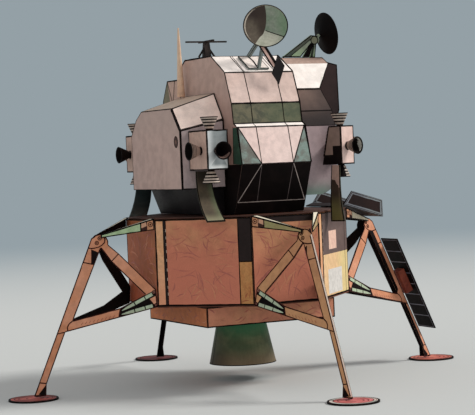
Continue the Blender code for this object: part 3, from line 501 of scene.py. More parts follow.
class Facet:
    """One flat face of a card body, in millimetres. A narrow one is the card's own edge."""

    def __init__(self, face):
        self.points = [v.co / MM for v in face.verts]
        self.normal = face.normal.copy()
        self.centre = face.calc_center_median() / MM
        self.area = face.calc_area() / MM ** 2
        around = sum((b - a).length for a, b in pairs(self.points))
        self.narrow = self.area / around < 0.3
        self.folds = []
        for edge in (loop.edge for loop in face.loops):
            sharp = edge.calc_face_angle(0.0) if len(edge.link_faces) == 2 else math.pi
            self.folds.append(sharp)


def facets(node):
    """Flat faces of a body: the triangles of one plane are taken together."""
    bm = bmesh.new()
    bm.from_mesh(NODES[node].data)
    bmesh.ops.remove_doubles(bm, verts=bm.verts, dist=0.000002)
    bmesh.ops.dissolve_limit(bm, angle_limit=math.radians(1.5), verts=bm.verts, edges=bm.edges)
    bm.normal_update()
    found = [Facet(face) for face in bm.faces]
    bm.free()
    return found


def paint_faces(sheet, node, choose, lift=PRINT):
    """Lays a print over each flat face for which choose gives a material."""
    for facet in facets(node):
        mat = choose(facet)
        if mat:
            sheet.cover(facet, mat, lift)


def ink_folds(sheet, node, wide, pick=None, mat=None):
    """Inks the folds round the flat faces, each line lying inside its own face."""
    for facet in facets(node):
        if not facet.narrow and (pick is None or pick(facet)):
            sheet.folds(facet, wide, FOLD_ANGLE, mat)


def outer_wall(facet):
    """Whether a face is upright and looks away from the middle of the model."""
    return abs(facet.normal.z) < 0.1 and facet.normal.dot(facet.centre) > 0


def finish(node, mat):
    for place in NODES[node].material_slots:
        place.material = mat


# Descent stage


class WallFace:
    """A descent wall seen from outside: s runs to the right and z up."""

    def __init__(self, facet):
        self.facet = facet
        self.out = facet.normal
        self.right = Vector((-self.out.y, self.out.x, 0.0))
        self.depth = self.out.dot(facet.centre)
        spans = [p.dot(self.right) for p in facet.points]
        heights = [p.z for p in facet.points]
        self.left, self.end = min(spans), max(spans)
        self.low, self.top = min(heights), max(heights)
        self.diagonal = abs(self.out.x) > 0.5 and abs(self.out.y) > 0.5
        self.plated = self.diagonal and self.out.x > 0 and self.out.y < 0

    def at(self, s, z):
        return self.out * self.depth + self.right * s + UP * z

    def block(self, s0, s1, z0, z1):
        return [self.at(s0, z0), self.at(s1, z0), self.at(s1, z1), self.at(s0, z1)]

    def patch(self, sheet, s0, s1, z0, z1, mat, lift=OVER_PRINT):
        sheet.shape(self.block(s0, s1, z0, z1), self.out, mat, lift)

    def upright_line(self, sheet, s, wide):
        sheet.line(self.at(s, self.low), self.at(s, self.top), self.out, wide)


def foil_card():
    c = colours()
    return card("foil_print", c.foil, c.rose, 0.75, patch=50.0,
                fades=[(c.rose, "z", 60.0, 42.0, 0.85)], rough=0.55)


def shade_foil_card():
    return card("shade_foil", srgb(176, 98, 66), srgb(160, 100, 62), 0.8, patch=60.0,
                fades=[(srgb(190, 96, 72), "z", 50.0, 34.0, 0.6)], rough=0.55)


def crease_cards():
    return [card("crease_mauve", srgb(182, 112, 92), srgb(188, 108, 94), 0.7),
            card("crease_plum", srgb(172, 102, 90), srgb(180, 106, 92), 0.7),
            card("crease_tan", srgb(198, 134, 102), srgb(200, 126, 100), 0.7)]


def post_dark_card():
    return card("post_dark", colours().brown, srgb(44, 30, 30), 0.6)


def post_card():
    return card("post_print", srgb(222, 172, 132), srgb(214, 156, 112), 0.8, patch=120.0,
                fades=[(srgb(226, 150, 120), "z", 52.0, 34.0, 0.6)])


class LANDER_OT_walls(bpy.types.Operator):
    """Print the eight descent walls with their posts, patches and foil creases"""
    bl_idname = "lander.walls"
    bl_label = "Descent walls"

    post = 4.2
    panel = 5.3
    panel_foot = 48.7
    umber_foot = 48.9

    def execute(self, context):
        finish("descent_walls", foil_card())
        sheet = Sheet("descent_wall_print")
        for facet in filter(outer_wall, facets("descent_walls")):
            wall = WallFace(facet)
            self.foil(sheet, wall)
            if wall.diagonal:
                self.posts(sheet, wall)
            elif wall.out.y < -0.5:
                wall.patch(sheet, wall.left, wall.end, 62.6, wall.top, post_dark_card())
            sheet.edge(facet, pen("fold"))
        sheet.done("descent_stage")
        return {"FINISHED"}

    def foil(self, sheet, wall):
        """Foil print, creased in from its edges but for the wall that has the plates."""
        shaded = wall.out.x < -0.9
        sheet.cover(wall.facet, shade_foil_card() if shaded else foil_card(), UNDER_PRINT)
        if wall.plated:
            return
        margin = 5.5 if wall.diagonal else 0.0
        corners = wall.block(wall.left + margin, wall.end - margin, wall.low + 0.5,
                             wall.top - 0.5)
        seed = round(math.degrees(math.atan2(wall.out.y, wall.out.x)))
        sheet.strokes(corners, wall.out, 110, seed, crease_cards(), lift=PRINT)

    def posts(self, sheet, wall):
        """Posts at both ends of a diagonal wall, and the panels between them."""
        for s in (wall.left, wall.end - self.post):
            wall.patch(sheet, s, s + self.post, wall.low, wall.top, post_card(), PRINT)
        if wall.plated:
            self.plates(sheet, wall)
        elif wall.out.x < 0 and wall.out.y < 0:
            self.side_panel(sheet, wall)
        self.band(sheet, wall)
        inner = 3.6 if wall.plated else self.panel if wall.out.y < 0 else self.post
        wall.upright_line(sheet, wall.end - inner, pen("fold"))

    def plates(self, sheet, wall):
        """Umber print over cream, with a blank patch on one and a blank plate on the other."""
        umber = card("wall_umber", srgb(104, 86, 82), srgb(92, 74, 72), 0.6, patch=70.0,
                     fades=[(srgb(52, 40, 40), "z", 57.0, 65.0, 0.7)])
        cream = card("wall_cream", srgb(226, 190, 146), srgb(220, 180, 136), 0.6, patch=70.0,
                     fades=[(srgb(214, 204, 140), "u", 0.4, 0.85, 0.55)])
        left = wall.left + 4.4
        wall.patch(sheet, left, wall.end, self.umber_foot, wall.top, umber)
        wall.patch(sheet, left, wall.end, wall.low, self.umber_foot, cream)
        pink = card("blank_patch", srgb(226, 190, 172), srgb(216, 172, 158), 0.6)
        blank = card("blank_plate", srgb(212, 208, 204), srgb(200, 196, 192), 0.5)
        for span, mat in (((-6.7, 3.7, 50.6, 57.7), pink), ((-9.0, 10.0, 33.6, 43.0), blank)):
            wall.patch(sheet, *span, mat, INK)

    def side_panel(self, sheet, wall):
        """Dark panel over a creased gold one, along the wall's right edge."""
        gold = card("post_gold", srgb(190, 136, 84), srgb(178, 116, 70), 0.8, patch=200.0)
        left, foot = wall.end - self.panel, self.panel_foot
        wall.patch(sheet, left, wall.end, foot, wall.top, post_dark_card())
        wall.patch(sheet, left, wall.end, wall.low, foot, gold)
        sheet.strokes(wall.block(left + 0.1, wall.end - 0.2, wall.low, foot - 0.2), wall.out,
                      16, 4, [card("gold_crease", srgb(160, 92, 62))], (2.0, 5.0), INK)
        sheet.line(wall.at(left, foot), wall.at(wall.end, foot), wall.out, pen("fold"))

    def band(self, sheet, wall):
        """Narrow dark band beside the left post, with bright dashes on it."""
        right = wall.left + self.post
        wall.patch(sheet, right - 0.85, right - 0.2, wall.low, wall.top, post_dark_card())
        wall.upright_line(sheet, right - 0.95, pen("hair"))
        wall.upright_line(sheet, right, pen("fold"))
        glint = card("band_glint", srgb(206, 184, 166))
        for i in range(9):
            share = 0.12 + 0.095 * i + 0.02 * math.sin(i * 5.3)
            foot = wall.at(right + 0.05, wall.low + (wall.top - wall.low) * share)
            sheet.line(foot, foot + UP * 1.1, wall.out, pen("hair", 0.7), glint, TOP_INK)


class LANDER_OT_deck(bpy.types.Operator):
    """Finish the deck, the floor plate, the skirt box and the rolled engine bell"""
    bl_idname = "lander.deck"
    bl_label = "Deck, skirt and bell"

    def execute(self, context):
        finish("descent_deck", card("deck_print", srgb(92, 56, 44), srgb(60, 38, 32), 0.8,
                                    patch=60.0))
        finish("descent_floor", card("floor_plate", srgb(110, 66, 50), colours().brown, 0.6))
        self.skirt()
        # Painted shade: the dark fade along x darkens the bell's left side; the brown foot and
        # green top are its print.
        bell = card("bell_print_and_shade", srgb(76, 92, 66), srgb(112, 118, 88), 0.8, patch=90.0,
                    fades=[(srgb(124, 104, 82), "z", 14.0, 7.0, 0.8),
                           (srgb(46, 128, 90), "z", 15.0, 23.0, 0.85),
                           (srgb(38, 30, 28), "x", -8.0, -15.0, 0.75)], rough=0.5)
        finish("engine_bell", bell)
        self.bell_lining()
        return {"FINISHED"}

    def skirt(self):
        """Creased and inked skirt walls, darker on the left, and the folds underneath."""
        finish("skirt_box", card("skirt_print", srgb(204, 144, 110), srgb(198, 128, 104), 0.7,
                                 patch=60.0))
        shade = card("skirt_shade", srgb(206, 124, 80), srgb(194, 120, 76), 0.7, patch=60.0)
        sheet = Sheet("skirt_ink")
        for facet in filter(outer_wall, facets("skirt_box")):
            if facet.normal.x < -0.9:
                sheet.cover(facet, shade, UNDER_PRINT)
            sheet.strokes(facet.points, facet.normal, 46, 11, crease_cards(), (2.0, 6.0))
        ink_folds(sheet, "skirt_box", pen("fold"), outer_wall)
        for facet in facets("skirt_box"):
            if facet.normal.z < -0.9 and facet.centre.z < 24.5:
                sheet.folds(facet, pen("fold"), sharp=0.5)
        sheet.done("descent_stage")

    def bell_lining(self):
        """Dark inside of the bell, its rim line, and the faint seam of the roll."""
        low, high = (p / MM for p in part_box("engine_bell"))
        mouth, neck, thick = high.x, 9.0, 0.4
        dark = card("bell_inside", srgb(46, 40, 36), srgb(28, 24, 22), 0.7)
        sheet = Sheet("bell_lining")

        def on_cone(angle, z, offset):
            share = (z - low.z) / (high.z - low.z)
            radius = mouth + (neck - mouth) * share + offset
            return Vector((radius * math.cos(angle), radius * math.sin(angle), z))

        steps = 48
        for i in range(steps):
            a, b = (math.tau * k / steps for k in (i, i + 1))
            for foot, top, offset, mat in ((high.z - thick, low.z, -thick - PRINT, dark),
                                           (low.z, low.z + 0.34, INK, ink_card())):
                corners = ((a, foot), (b, foot), (b, top), (a, top))
                sheet.add_face([on_cone(*corner, offset) for corner in corners], mat)
        sheet.line((mouth * -0.985, 0.3, low.z), (-neck, 0.3, high.z),
                   (-1, 0, -0.2), pen("hair"), lift=0.25)
        sheet.done("descent_stage", smooth=True)


# Legs


KNEE = Vector((61.5, 0.0, 59.4))
FOOT = Vector((87.2, 0.0, 1.3))
WALL_CORNER = Vector((41.3, 14.2, 33.5))
LEG_TURNS = {"right": 0.0, "rear": math.pi / 2, "left": math.pi, "front": -math.pi / 2}


class LegSheet:
    """One side of a leg: a runs down the fold from the knee and b in towards the wall."""

    def __init__(self, place, side):
        self.turn = Matrix.Rotation(LEG_TURNS[place], 3, "Z")
        self.side = side
        self.down = (FOOT - KNEE).normalized()
        corner = WALL_CORNER - KNEE
        self.inward = (corner - self.down * corner.dot(self.down)).normalized()
        out = self.down.cross(self.inward)
        if out.y < 0:
            out = -out
        self.out = self.placed(out)

    def placed(self, point):
        return self.turn @ Vector((point.x, point.y * self.side, point.z))

    def at(self, a, b):
        return self.placed(KNEE + self.down * a + self.inward * b)

    def shape(self, sheet, corners, mat, lift=PRINT):
        sheet.shape([self.at(a, b) for a, b in corners], self.out, mat, lift)

    def line(self, sheet, start, end, wide, mat=None, lift=INK):
        sheet.line(self.at(*start), self.at(*end), self.out, wide, mat or leg_ink(), lift)

    def path(self, sheet, points, wide):
        for here, after in zip(points, points[1:]):
            self.line(sheet, here, after, wide)

    def bolt(self, sheet, a, b, radius, mat=None):
        if mat:
            sheet.ring(self.at(a, b), self.out, 0.0, radius, mat, INK, steps=16)
        sheet.ring(self.at(a, b), self.out, radius - 0.3, radius, leg_ink(), TOP_INK, steps=16)
        sheet.ring(self.at(a, b), self.out, 0.0, radius * 0.4, leg_ink(), TOP_INK, steps=8)


class LANDER_OT_legs(bpy.types.Operator):
    """Print the folded leg sheets: knee plates, collars, green forks and gussets"""
    bl_idname = "lander.legs"
    bl_label = "Legs"

    def execute(self, context):
        for place in LEG_TURNS:
            finish("leg_truss_" + place, black_card())
            sheet = Sheet("leg_print_" + place)
            for side in (1, -1):
                self.print_side(sheet, place, side)
            sheet.done("descent_stage")
        return {"FINISHED"}

    def print_side(self, sheet, place, side):
        """Everything printed on one of a leg's two outer sides."""
        leg = LegSheet(place, side)
        faces_front = place == "front" and side == -1
        if faces_front:
            # Painted shade: this side of the front leg takes a darker copy of the leg print.
            orange = card("leg_ochre_in_shade", srgb(198, 148, 106), srgb(182, 126, 94), 0.7, patch=70.0)
        else:
            orange = card("leg_print", colours().leg, srgb(200, 132, 96), 0.75, patch=70.0)
        green = card("fork_print", srgb(180, 198, 170), srgb(170, 178, 156), 0.7, patch=160.0)
        node = "leg_truss_" + place

        def outer(facet):
            return not facet.narrow and facet.normal.dot(leg.out) > 0.98

        paint_faces(sheet, node, lambda f: orange if outer(f) else None, UNDER_PRINT)
        ink_folds(sheet, node, pen("fold", 0.9), outer, leg_ink())
        self.fork(sheet, leg, green, orange)
        self.knee(sheet, leg, place)
        self.collars(sheet, leg)
        if faces_front:
            self.painted_highlight_edge(sheet, leg)
        if place == "right" and side == -1:
            # Painted shade: black strips down the strut on this side of the right leg.
            for strip in ([(4.0, 2.4), (31.0, 2.4), (32.0, 4.1), (2.8, 4.6)],
                          [(38.2, 1.5), (57.4, 1.5), (61.8, 4.1), (57.8, 2.8), (37.4, 2.8)]):
                leg.shape(sheet, strip, black_card(), TOP_INK)

    def collars(self, sheet, leg):
        """Lines across the strut, brace and arm, the arm's ticks and the black foot wedge."""
        fold = pen("fold")
        leg.line(sheet, (10.1, 0.0), (9.5, 4.4), fold)
        leg.line(sheet, (2.5, 11.8), (6.2, 10.2), fold)
        ticks = card("arm_ticks", srgb(160, 92, 74))
        for i in range(9):
            a, b = 25.2 + i * 0.8, 18.2 - i * 1.3
            leg.line(sheet, (a, b), (a + 1.1, b - 0.3), pen("hair", 0.8), ticks)
        leg.path(sheet, [(31.2, 5.4), (31.6, 4.7), (32.4, 3.9), (33.7, 3.1), (35.2, 2.9),
                         (36.4, 3.5)], fold)
        leg.line(sheet, (37.2, 2.7), (38.9, 0.0), fold)
        leg.line(sheet, (58.2, 0.0), (57.5, 2.7), fold)
        leg.shape(sheet, [(57.9, 2.7), (62.4, 1.3), (61.8, 4.0)], black_card())

    def painted_highlight_edge(self, sheet, leg):
        """Painted highlight: a pale strip along the fold of the leg under the window face."""
        light = card("leg_edge_highlight", srgb(255, 236, 222), srgb(252, 224, 208), 0.6)
        leg.shape(sheet, [(1.0, 0.0), (62.9, 0.0), (62.7, 0.75), (1.2, 0.75)], light, TOP_INK)
        leg.line(sheet, (1.2, 0.85), (62.5, 0.85), pen("fold", 1.1), lift=TOP_INK + 0.01)

    def fork(self, sheet, leg, green, orange):
        """Black gusset at the wall with two green blades, the brace's end and two bolts."""
        leg.shape(sheet, [(22.0, 19.5), (25.3, 20.0), (16.8, 32.3), (10.9, 29.5), (14.0, 26.6)],
                  black_card())
        leg.shape(sheet, [(13.2, 30.3), (14.9, 28.6), (16.3, 30.9), (15.5, 31.4)], orange,
                  OVER_PRINT)
        self.blade(sheet, leg, (22.5, 20.2), (12.9, 28.9), green)
        self.blade(sheet, leg, (23.9, 20.6), (17.0, 30.5), green)
        rosy = card("bolt_rosy", srgb(186, 134, 120), srgb(160, 104, 92), 0.6)
        leg.bolt(sheet, 12.0, 29.2, 0.75, rosy)
        leg.bolt(sheet, 16.3, 31.5, 0.62, rosy)
        leg.line(sheet, (21.9, 19.4), (25.3, 19.9), pen("fold"))

    def knee(self, sheet, leg, place):
        """Bolts and edge line of the round knee plate, and the black behind the strut."""
        fold = pen("fold")
        if place == "left":
            bolts = ((-0.6, 3.0), (1.4, 2.6))
            edge = [(-2.1, 3.7), (-1.2, 4.9), (0.2, 5.3), (1.6, 4.7), (2.8, 3.6), (3.8, 2.0),
                    (4.2, 1.0), (4.3, 0.0)]
            leg.shape(sheet, [(4.4, 1.6), (9.8, 3.6), (9.7, 4.5), (4.6, 4.6)], black_card())
            leg.line(sheet, (4.4, 1.5), (9.8, 3.5), fold * 0.7)
        else:
            bolts = ((-1.0, 4.4), (0.9, 4.3))
            edge = [(-2.1, 5.0), (-0.9, 6.0), (0.4, 6.0), (1.4, 5.6), (2.8, 4.4), (3.7, 2.9),
                    (4.1, 1.6), (4.3, 0.0)]
            leg.shape(sheet, [(4.2, 3.3), (8.6, 4.5), (4.6, 4.6)], black_card())
        for a, b in bolts:
            leg.bolt(sheet, a, b, 0.82)
        leg.path(sheet, edge, fold)

    def blade(self, sheet, leg, start, end, mat):
        """A pale green fork blade with two ticks across it."""
        start, end = Vector(start), Vector(end)
        along = end - start
        across = Vector((-along.y, along.x)).normalized()
        near, far = [], []
        for share, half in ((0.0, 0.1), (0.15, 0.4), (0.4, 0.6), (1.0, 0.62)):
            near.append(start + along * share + across * half)
            far.append(start + along * share - across * half)
        leg.shape(sheet, near + far[::-1], mat, OVER_PRINT)
        for share in (0.42, 0.76):
            middle = start + along * share
            leg.line(sheet, middle - across * 0.66, middle + across * 0.66,
                     pen("hair", 1.4), ink_card())


class LANDER_OT_outriggers(bpy.types.Operator):
    """Print the outrigger arms: green web, pale flange and the bolted end block"""
    bl_idname = "lander.outriggers"
    bl_label = "Outriggers"

    def execute(self, context):
        for place in LEG_TURNS:
            sheet = Sheet("outrigger_print_" + place)
            for letter, side in (("a", 1), ("b", -1)):
                self.arm(sheet, place, "outrigger_%s_%s" % (place, letter), side)
            sheet.done("descent_stage")
        return {"FINISHED"}

    def arm(self, sheet, place, node, side):
        """Pale top flange, and the print of the upright web with its end block."""
        finish(node, black_card())
        pale = card("outrigger_top", srgb(240, 232, 212), srgb(222, 220, 192), 0.6)
        spin = Matrix.Rotation(LEG_TURNS[place], 3, "Z")
        away = spin @ Vector((0.2, side, 0.0)).normalized()
        for facet in facets(node):
            if facet.narrow and facet.area < 4:
                continue
            if facet.normal.z > 0.9:
                sheet.cover(facet, pale)
                sheet.edge(facet, pen("fold", 0.8))
            elif facet.normal.dot(away) > 0.8:
                sheet.cover(facet, self.web_card(place))
                self.end_block(sheet, facet, spin)
                sheet.edge(facet, pen("fold"))

    def web_card(self, place):
        """Print of a web: olive in front, cream on the right and green on the others."""
        if place == "front":
            return card("web_olive", srgb(156, 150, 104), srgb(146, 130, 90), 0.7,
                        patch=130.0, fades=[(srgb(180, 148, 108), "x", -8.0, -1.0, 0.7)])
        if place == "right":
            return card("web_cream", srgb(226, 214, 190), srgb(206, 196, 168), 0.6,
                        fades=[(srgb(96, 78, 64), "x", 55.0, 61.0, 0.8)])
        return card("outrigger_web", colours().pale_green, srgb(150, 176, 132), 0.7,
                    patch=130.0)

    def end_block(self, sheet, facet, spin):
        """Bolted block at the wall end, then a dark part with a tan patch up to a collar."""
        radial = spin @ Vector((1.0, 0.0, 0.0))
        ordered = sorted(facet.points, key=lambda p: p.dot(radial))
        wall, far = (sorted(end, key=lambda p: p.z) for end in (ordered[:2], ordered[-2:]))
        out = facet.normal

        def at(u, v):
            return wall[0].lerp(far[0], u).lerp(wall[1].lerp(far[1], u), v)

        orange = card("outrigger_end", srgb(190, 134, 96), srgb(204, 150, 124), 0.5)
        dark = card("block_dark", srgb(66, 34, 28), srgb(46, 26, 24), 0.6)
        for u0, u1, mat in ((0, 0.13, orange), (0.13, 0.25, dark)):
            sheet.shape([at(u0, 0), at(u1, 0), at(u1, 1), at(u0, 1)], out, mat, OVER_PRINT)
        sheet.shape([at(0.14, 0.5), at(0.24, 0.38), at(0.24, 0.86), at(0.15, 0.92)], out,
                    card("block_tan", srgb(206, 158, 130)), INK)
        sheet.line(at(0.25, 0), at(0.25, 1), out, pen("fold", 1.1))
        middle = at(0.07, 0.55)
        sheet.ring(middle, out, 0.66, 0.95, leg_ink(), steps=16)
        sheet.ring(middle, out, 0.0, 0.38, leg_ink(), steps=8)


class LANDER_OT_pads(bpy.types.Operator):
    """Print the footpads: black rim and salmon disc with its rings"""
    bl_idname = "lander.pads"
    bl_label = "Footpads"

    def execute(self, context):
        c = colours()
        # Painted shade: the left pad is printed duller and the rear pad, in the shadow of the body,
        # a deep dark red.
        prints = {
            "front": card("pad_bright", srgb(206, 118, 118), srgb(186, 98, 92), 0.7,
                          patch=120.0),
            "right": card("pad_print", c.pad, srgb(190, 96, 84), 0.7, patch=120.0),
            "left": card("pad_in_shade", srgb(204, 106, 96), srgb(136, 66, 60), 0.8, patch=120.0),
            "rear": card("pad_in_deep_shade", srgb(104, 52, 50), srgb(82, 42, 41), 0.7, patch=120.0),
        }
        deep = card("pad_ring", srgb(118, 34, 36), srgb(84, 26, 28), 0.6)
        light = card("pad_light", srgb(220, 200, 192), srgb(174, 184, 176), 0.9, patch=60.0)
        for place in LEG_TURNS:
            node = "footpad_" + place
            finish(node, black_card())
            low, high = (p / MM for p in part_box(node))
            centre = (low + high) / 2
            centre.z = high.z
            radius = (high.x - low.x) / 2
            sheet = Sheet("pad_print_" + place)
            border = light if place == "front" else prints[place]
            sheet.ring(centre, UP, 0.0, radius - 2.1, prints[place], PRINT, steps=40)
            sheet.ring(centre, UP, radius - 2.1, radius - 0.8, border, PRINT, steps=40)
            sheet.ring(centre, UP, radius - 2.3, radius - 2.0, steps=40)
            sheet.ring(centre, UP, radius - 1.4, radius - 1.2, start=-1.9, turn=2.6, steps=24)
            for share, start, turn in ((0.6, -0.9, 1.5), (0.62, 1.9, 2.2), (0.42, -1.2, 1.9),
                                       (0.3, 2.0, 2.6)):
                sheet.ring(centre, UP, radius * share - 0.45, radius * share, deep,
                           OVER_PRINT, start, turn, 20)
            sheet.done("descent_stage")
        return {"FINISHED"}


class LANDER_OT_porch(bpy.types.Operator):
    """Print the porch wings and floor, the ladder rungs and the ladder bracket"""
    bl_idname = "lander.porch"
    bl_label = "Porch and ladder"

    def execute(self, context):
        brown = card("porch_brown", srgb(46, 28, 27), srgb(30, 19, 20), 0.6)
        grey = card("porch_grey", srgb(140, 146, 150), srgb(112, 114, 126), 0.6)
        finish("porch", black_card())
        sheet = Sheet("porch_print")
        for facet in facets("porch"):
            if facet.narrow:
                continue
            sheet.cover(facet, brown)
            if abs(facet.normal.y) > 0.9:
                self.border(sheet, facet, 0.6, grey, pen("fold", 1.3))
                self.border(sheet, facet, 0.15, grey, pen("hair", 0.8))
            elif facet.area > 200:
                self.border(sheet, facet, 0.8, grey, pen("fold"))
        sheet.done("descent_stage")
        finish("ladder", black_card())
        finish("ladder_bracket", card("bracket_print", srgb(140, 70, 52),
                                      srgb(104, 44, 36), 0.8, patch=160.0))
        self.rungs()
        return {"FINISHED"}

    def border(self, sheet, facet, gap, mat, wide):
        """A line that runs at a steady distance inside a four-sided panel."""
        points, inset = facet.points, []
        for i, (point, after) in enumerate(pairs(points)):
            to_next = (after - point).normalized()
            to_last = (points[i - 1] - point).normalized()
            sine = max(to_next.cross(to_last).length, 0.2)
            inset.append(point + (to_next + to_last) * (gap / sine))
        sheet.outline(inset, facet.normal, wide, mat)

    def rungs(self):
        """Seven pale rungs between a pale border, on both sides of the ladder."""
        pale = card("ladder_line", srgb(126, 126, 138), srgb(96, 98, 110), 0.6)
        sheet = Sheet("ladder_print")
        for facet in facets("ladder"):
            if facet.narrow:
                continue
            points = sorted(facet.points, key=lambda p: p.z)
            low = sorted(points[:2], key=lambda p: p.y)
            high = sorted(points[2:], key=lambda p: p.y)
            self.border(sheet, facet, 0.5, pale, pen("fold", 0.5))
            for i in range(1, 8):
                share = 0.02 + 0.96 * i / 8
                left = low[0].lerp(high[0], share)
                right = low[1].lerp(high[1], share)
                sheet.line(left.lerp(right, 0.05), left.lerp(right, 0.95), facet.normal,
                           pen("fold", 0.9), pale)
        sheet.done("descent_stage")


# Ascent stage


class LANDER_OT_cabin(bpy.types.Operator):
    """Print the cabin: roof, brow, olive band, ledge, windows and the black chin"""
    bl_idname = "lander.cabin"
    bl_label = "Cabin"

    # Places of the two upright lines across the cabin, and the height where the chin begins
    divisions = (-6.4, 7.0)
    chin_top = 84.5

    def execute(self, context):
        c = colours()
        side_card = card("cabin_side", c.mauve, srgb(196, 166, 154), 0.5, patch=40.0,
                         fades=[(srgb(158, 130, 122), "z", 118.0, 100.0, 0.5)])
        finish("cabin", side_card)
        sheet = Sheet("cabin_print")
        black = black_card()
        white = card("roof_white", srgb(252, 244, 240), srgb(248, 236, 230), 0.5, patch=40.0)
        cream = card("brow_cream", c.cream, srgb(216, 188, 178), 0.45, patch=60.0)
        olive = card("olive_band", srgb(112, 108, 88), srgb(80, 82, 70), 0.9, patch=240.0,
                     fades=[(srgb(84, 100, 74), "u", 0.35, 0.6, 0.4)])
        pink = card("nose_pink", srgb(238, 214, 208), srgb(230, 202, 196), 0.35, patch=60.0)
        front = {}
        for facet in facets("cabin"):
            if facet.normal.y < -0.3 or (facet.normal.z > 0.5 and facet.centre.y < -13):
                front[round(facet.centre.z, 1)] = facet
        rows = [front[height] for height in sorted(front)]
        for facet, mat in zip(rows, (black, pink, white, olive, cream, white)):
            sheet.cover(facet, mat)
            if mat is not black:
                sheet.edge(facet, pen("fold", 0.8))
        chin, nose, roof = rows[0], rows[1], rows[5]
        for x in self.divisions:
            for row in rows[1:]:
                self.rise(sheet, row, x, x, pen("fold", 0.85))
        self.windows(sheet, nose)
        self.chin_lines(sheet, chin)
        self.side_prints(sheet)
        for top, foot in ((-5.5, -6.0), (8.3, 7.4)):
            self.rise(sheet, roof, foot, top, pen("hair"))
        ink_folds(sheet, "cabin", pen("fold"),
                  lambda f: abs(f.normal.x) < 0.1 and f.centre.y > -13)
        sheet.done("ascent_stage")
        return {"FINISHED"}

    def at_x(self, facet, x, high):
        """Point of a facet's upper or lower fold at a place across the cabin."""
        edge = max(p.z for p in facet.points) if high else min(p.z for p in facet.points)
        ends = [p for p in facet.points if abs(p.z - edge) < 0.05]
        return Vector((x, ends[0].y, ends[0].z))

    def rise(self, sheet, panel, foot, top, wide):
        """A line from one place on a panel's lower fold to one on its upper fold."""
        sheet.line(self.at_x(panel, foot, False), self.at_x(panel, top, True), panel.normal,
                   wide)

    def windows(self, sheet, nose):
        """Two triangular windows beside the middle panel of the nose."""
        glass = card("window_print", colours().glass, srgb(108, 104, 98), 0.9, patch=260.0)
        half = max(p.x for p in nose.points)
        for side, foot in zip((-1, 1), self.divisions):
            top = self.at_x(nose, side * (half - 0.6), True)
            corner = self.at_x(nose, side * half, False)
            inner = self.at_x(nose, foot, False)
            sheet.shape([top, corner, inner], nose.normal, glass, OVER_PRINT)
            sheet.line(top, inner, nose.normal, pen("fold"))
            sheet.line(top, corner, nose.normal, pen("fold"))

    def chin_lines(self, sheet, chin):
        """White fold lines on the black chin: a trapezoid that spreads downwards."""
        faint = card("faint_line", srgb(104, 92, 92))
        half = max(p.x for p in chin.points) * 0.97
        crease_y, crease_z = -30.7, 70.4
        corners = [Vector((side * half, crease_y, crease_z)) for side in (-1, 1)]
        for corner, x in zip(corners, self.divisions):
            top = self.at_x(chin, x, True)
            foot = Vector((x * 0.95, crease_y, crease_z))
            sheet.line(top, corner, chin.normal, pen("hair"), white_ink())
            sheet.line(top, foot, chin.normal, pen("hair", 0.8), faint)
        sheet.line(*corners, chin.normal, pen("hair"), white_ink())

    def side_prints(self, sheet):
        """Left and right side plates: green wedge by the window and black below."""
        green = card("side_green", srgb(58, 96, 82), srgb(46, 78, 66), 0.8, patch=160.0)
        foot = self.chin_top
        wedge = [(-30.2, 98.4), (-33.0, 98.5), (-36.6, 84.6), (-29.4, 84.9)]
        chin = [(-36.6, foot), (-30.5, 69.9), (-28.8, 66.0), (-20.3, 66.0), (-20.3, 76.1),
                (-19.0, foot)]
        front = [(-12.8, 126.5), (-24.5, 119.6), (-29.4, 107.6), (-30.6, 99.9), (-33.1, 98.6),
                 (-36.7, foot)]
        back = [(-12.8, 126.5), (10.9, 126.5), (16.2, 123.1)]
        half = (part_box("cabin")[1] / MM).x
        for side in (-1, 1):
            out, x = (side, 0, 0), side * half
            sheet.shape([(x, y, z) for y, z in wedge], out, green)
            sheet.shape([(x, y, z) for y, z in chin], out, black_card())
            for a, b in zip(front, front[1:]):
                sheet.line((x, *a), (x, *b), out, pen("heavy"), inside=side < 0)
            for a, b in (((-30.3, 98.8), (-29.4, 84.9)), ((-36.7, foot), (-19.0, foot))):
                sheet.line((x, *a), (x, *b), out, pen("heavy", 0.6))
            for a, b in zip(back, back[1:]):
                sheet.line((x, *a), (x, *b), out, pen("heavy"))


class LANDER_OT_base(bpy.types.Operator):
    """Finish the black base under the ascent stage"""
    bl_idname = "lander.base"
    bl_label = "Ascent base"

    def execute(self, context):
        finish("ascent_base", card("base_black", srgb(20, 15, 16), srgb(40, 32, 34), 0.8,
                                   patch=60.0, rough=0.5))
        sheet = Sheet("base_lines")
        faint = card("base_faint_line", srgb(52, 44, 46))
        for facet in facets("ascent_base"):
            if abs(facet.normal.z) < 0.7 and not facet.narrow:
                ordered = sorted(facet.points, key=lambda p: p.z)
                along = Vector((-facet.normal.y, facet.normal.x, 0.0))
                low, high = (sorted(end, key=lambda p: p.dot(along))
                             for end in (ordered[:2], ordered[2:]))
                for share in (0.28, 0.66):
                    sheet.line(low[0].lerp(low[1], share), high[0].lerp(high[1], share),
                               facet.normal, pen("hair"), faint)
        sheet.done("ascent_stage")
        return {"FINISHED"}


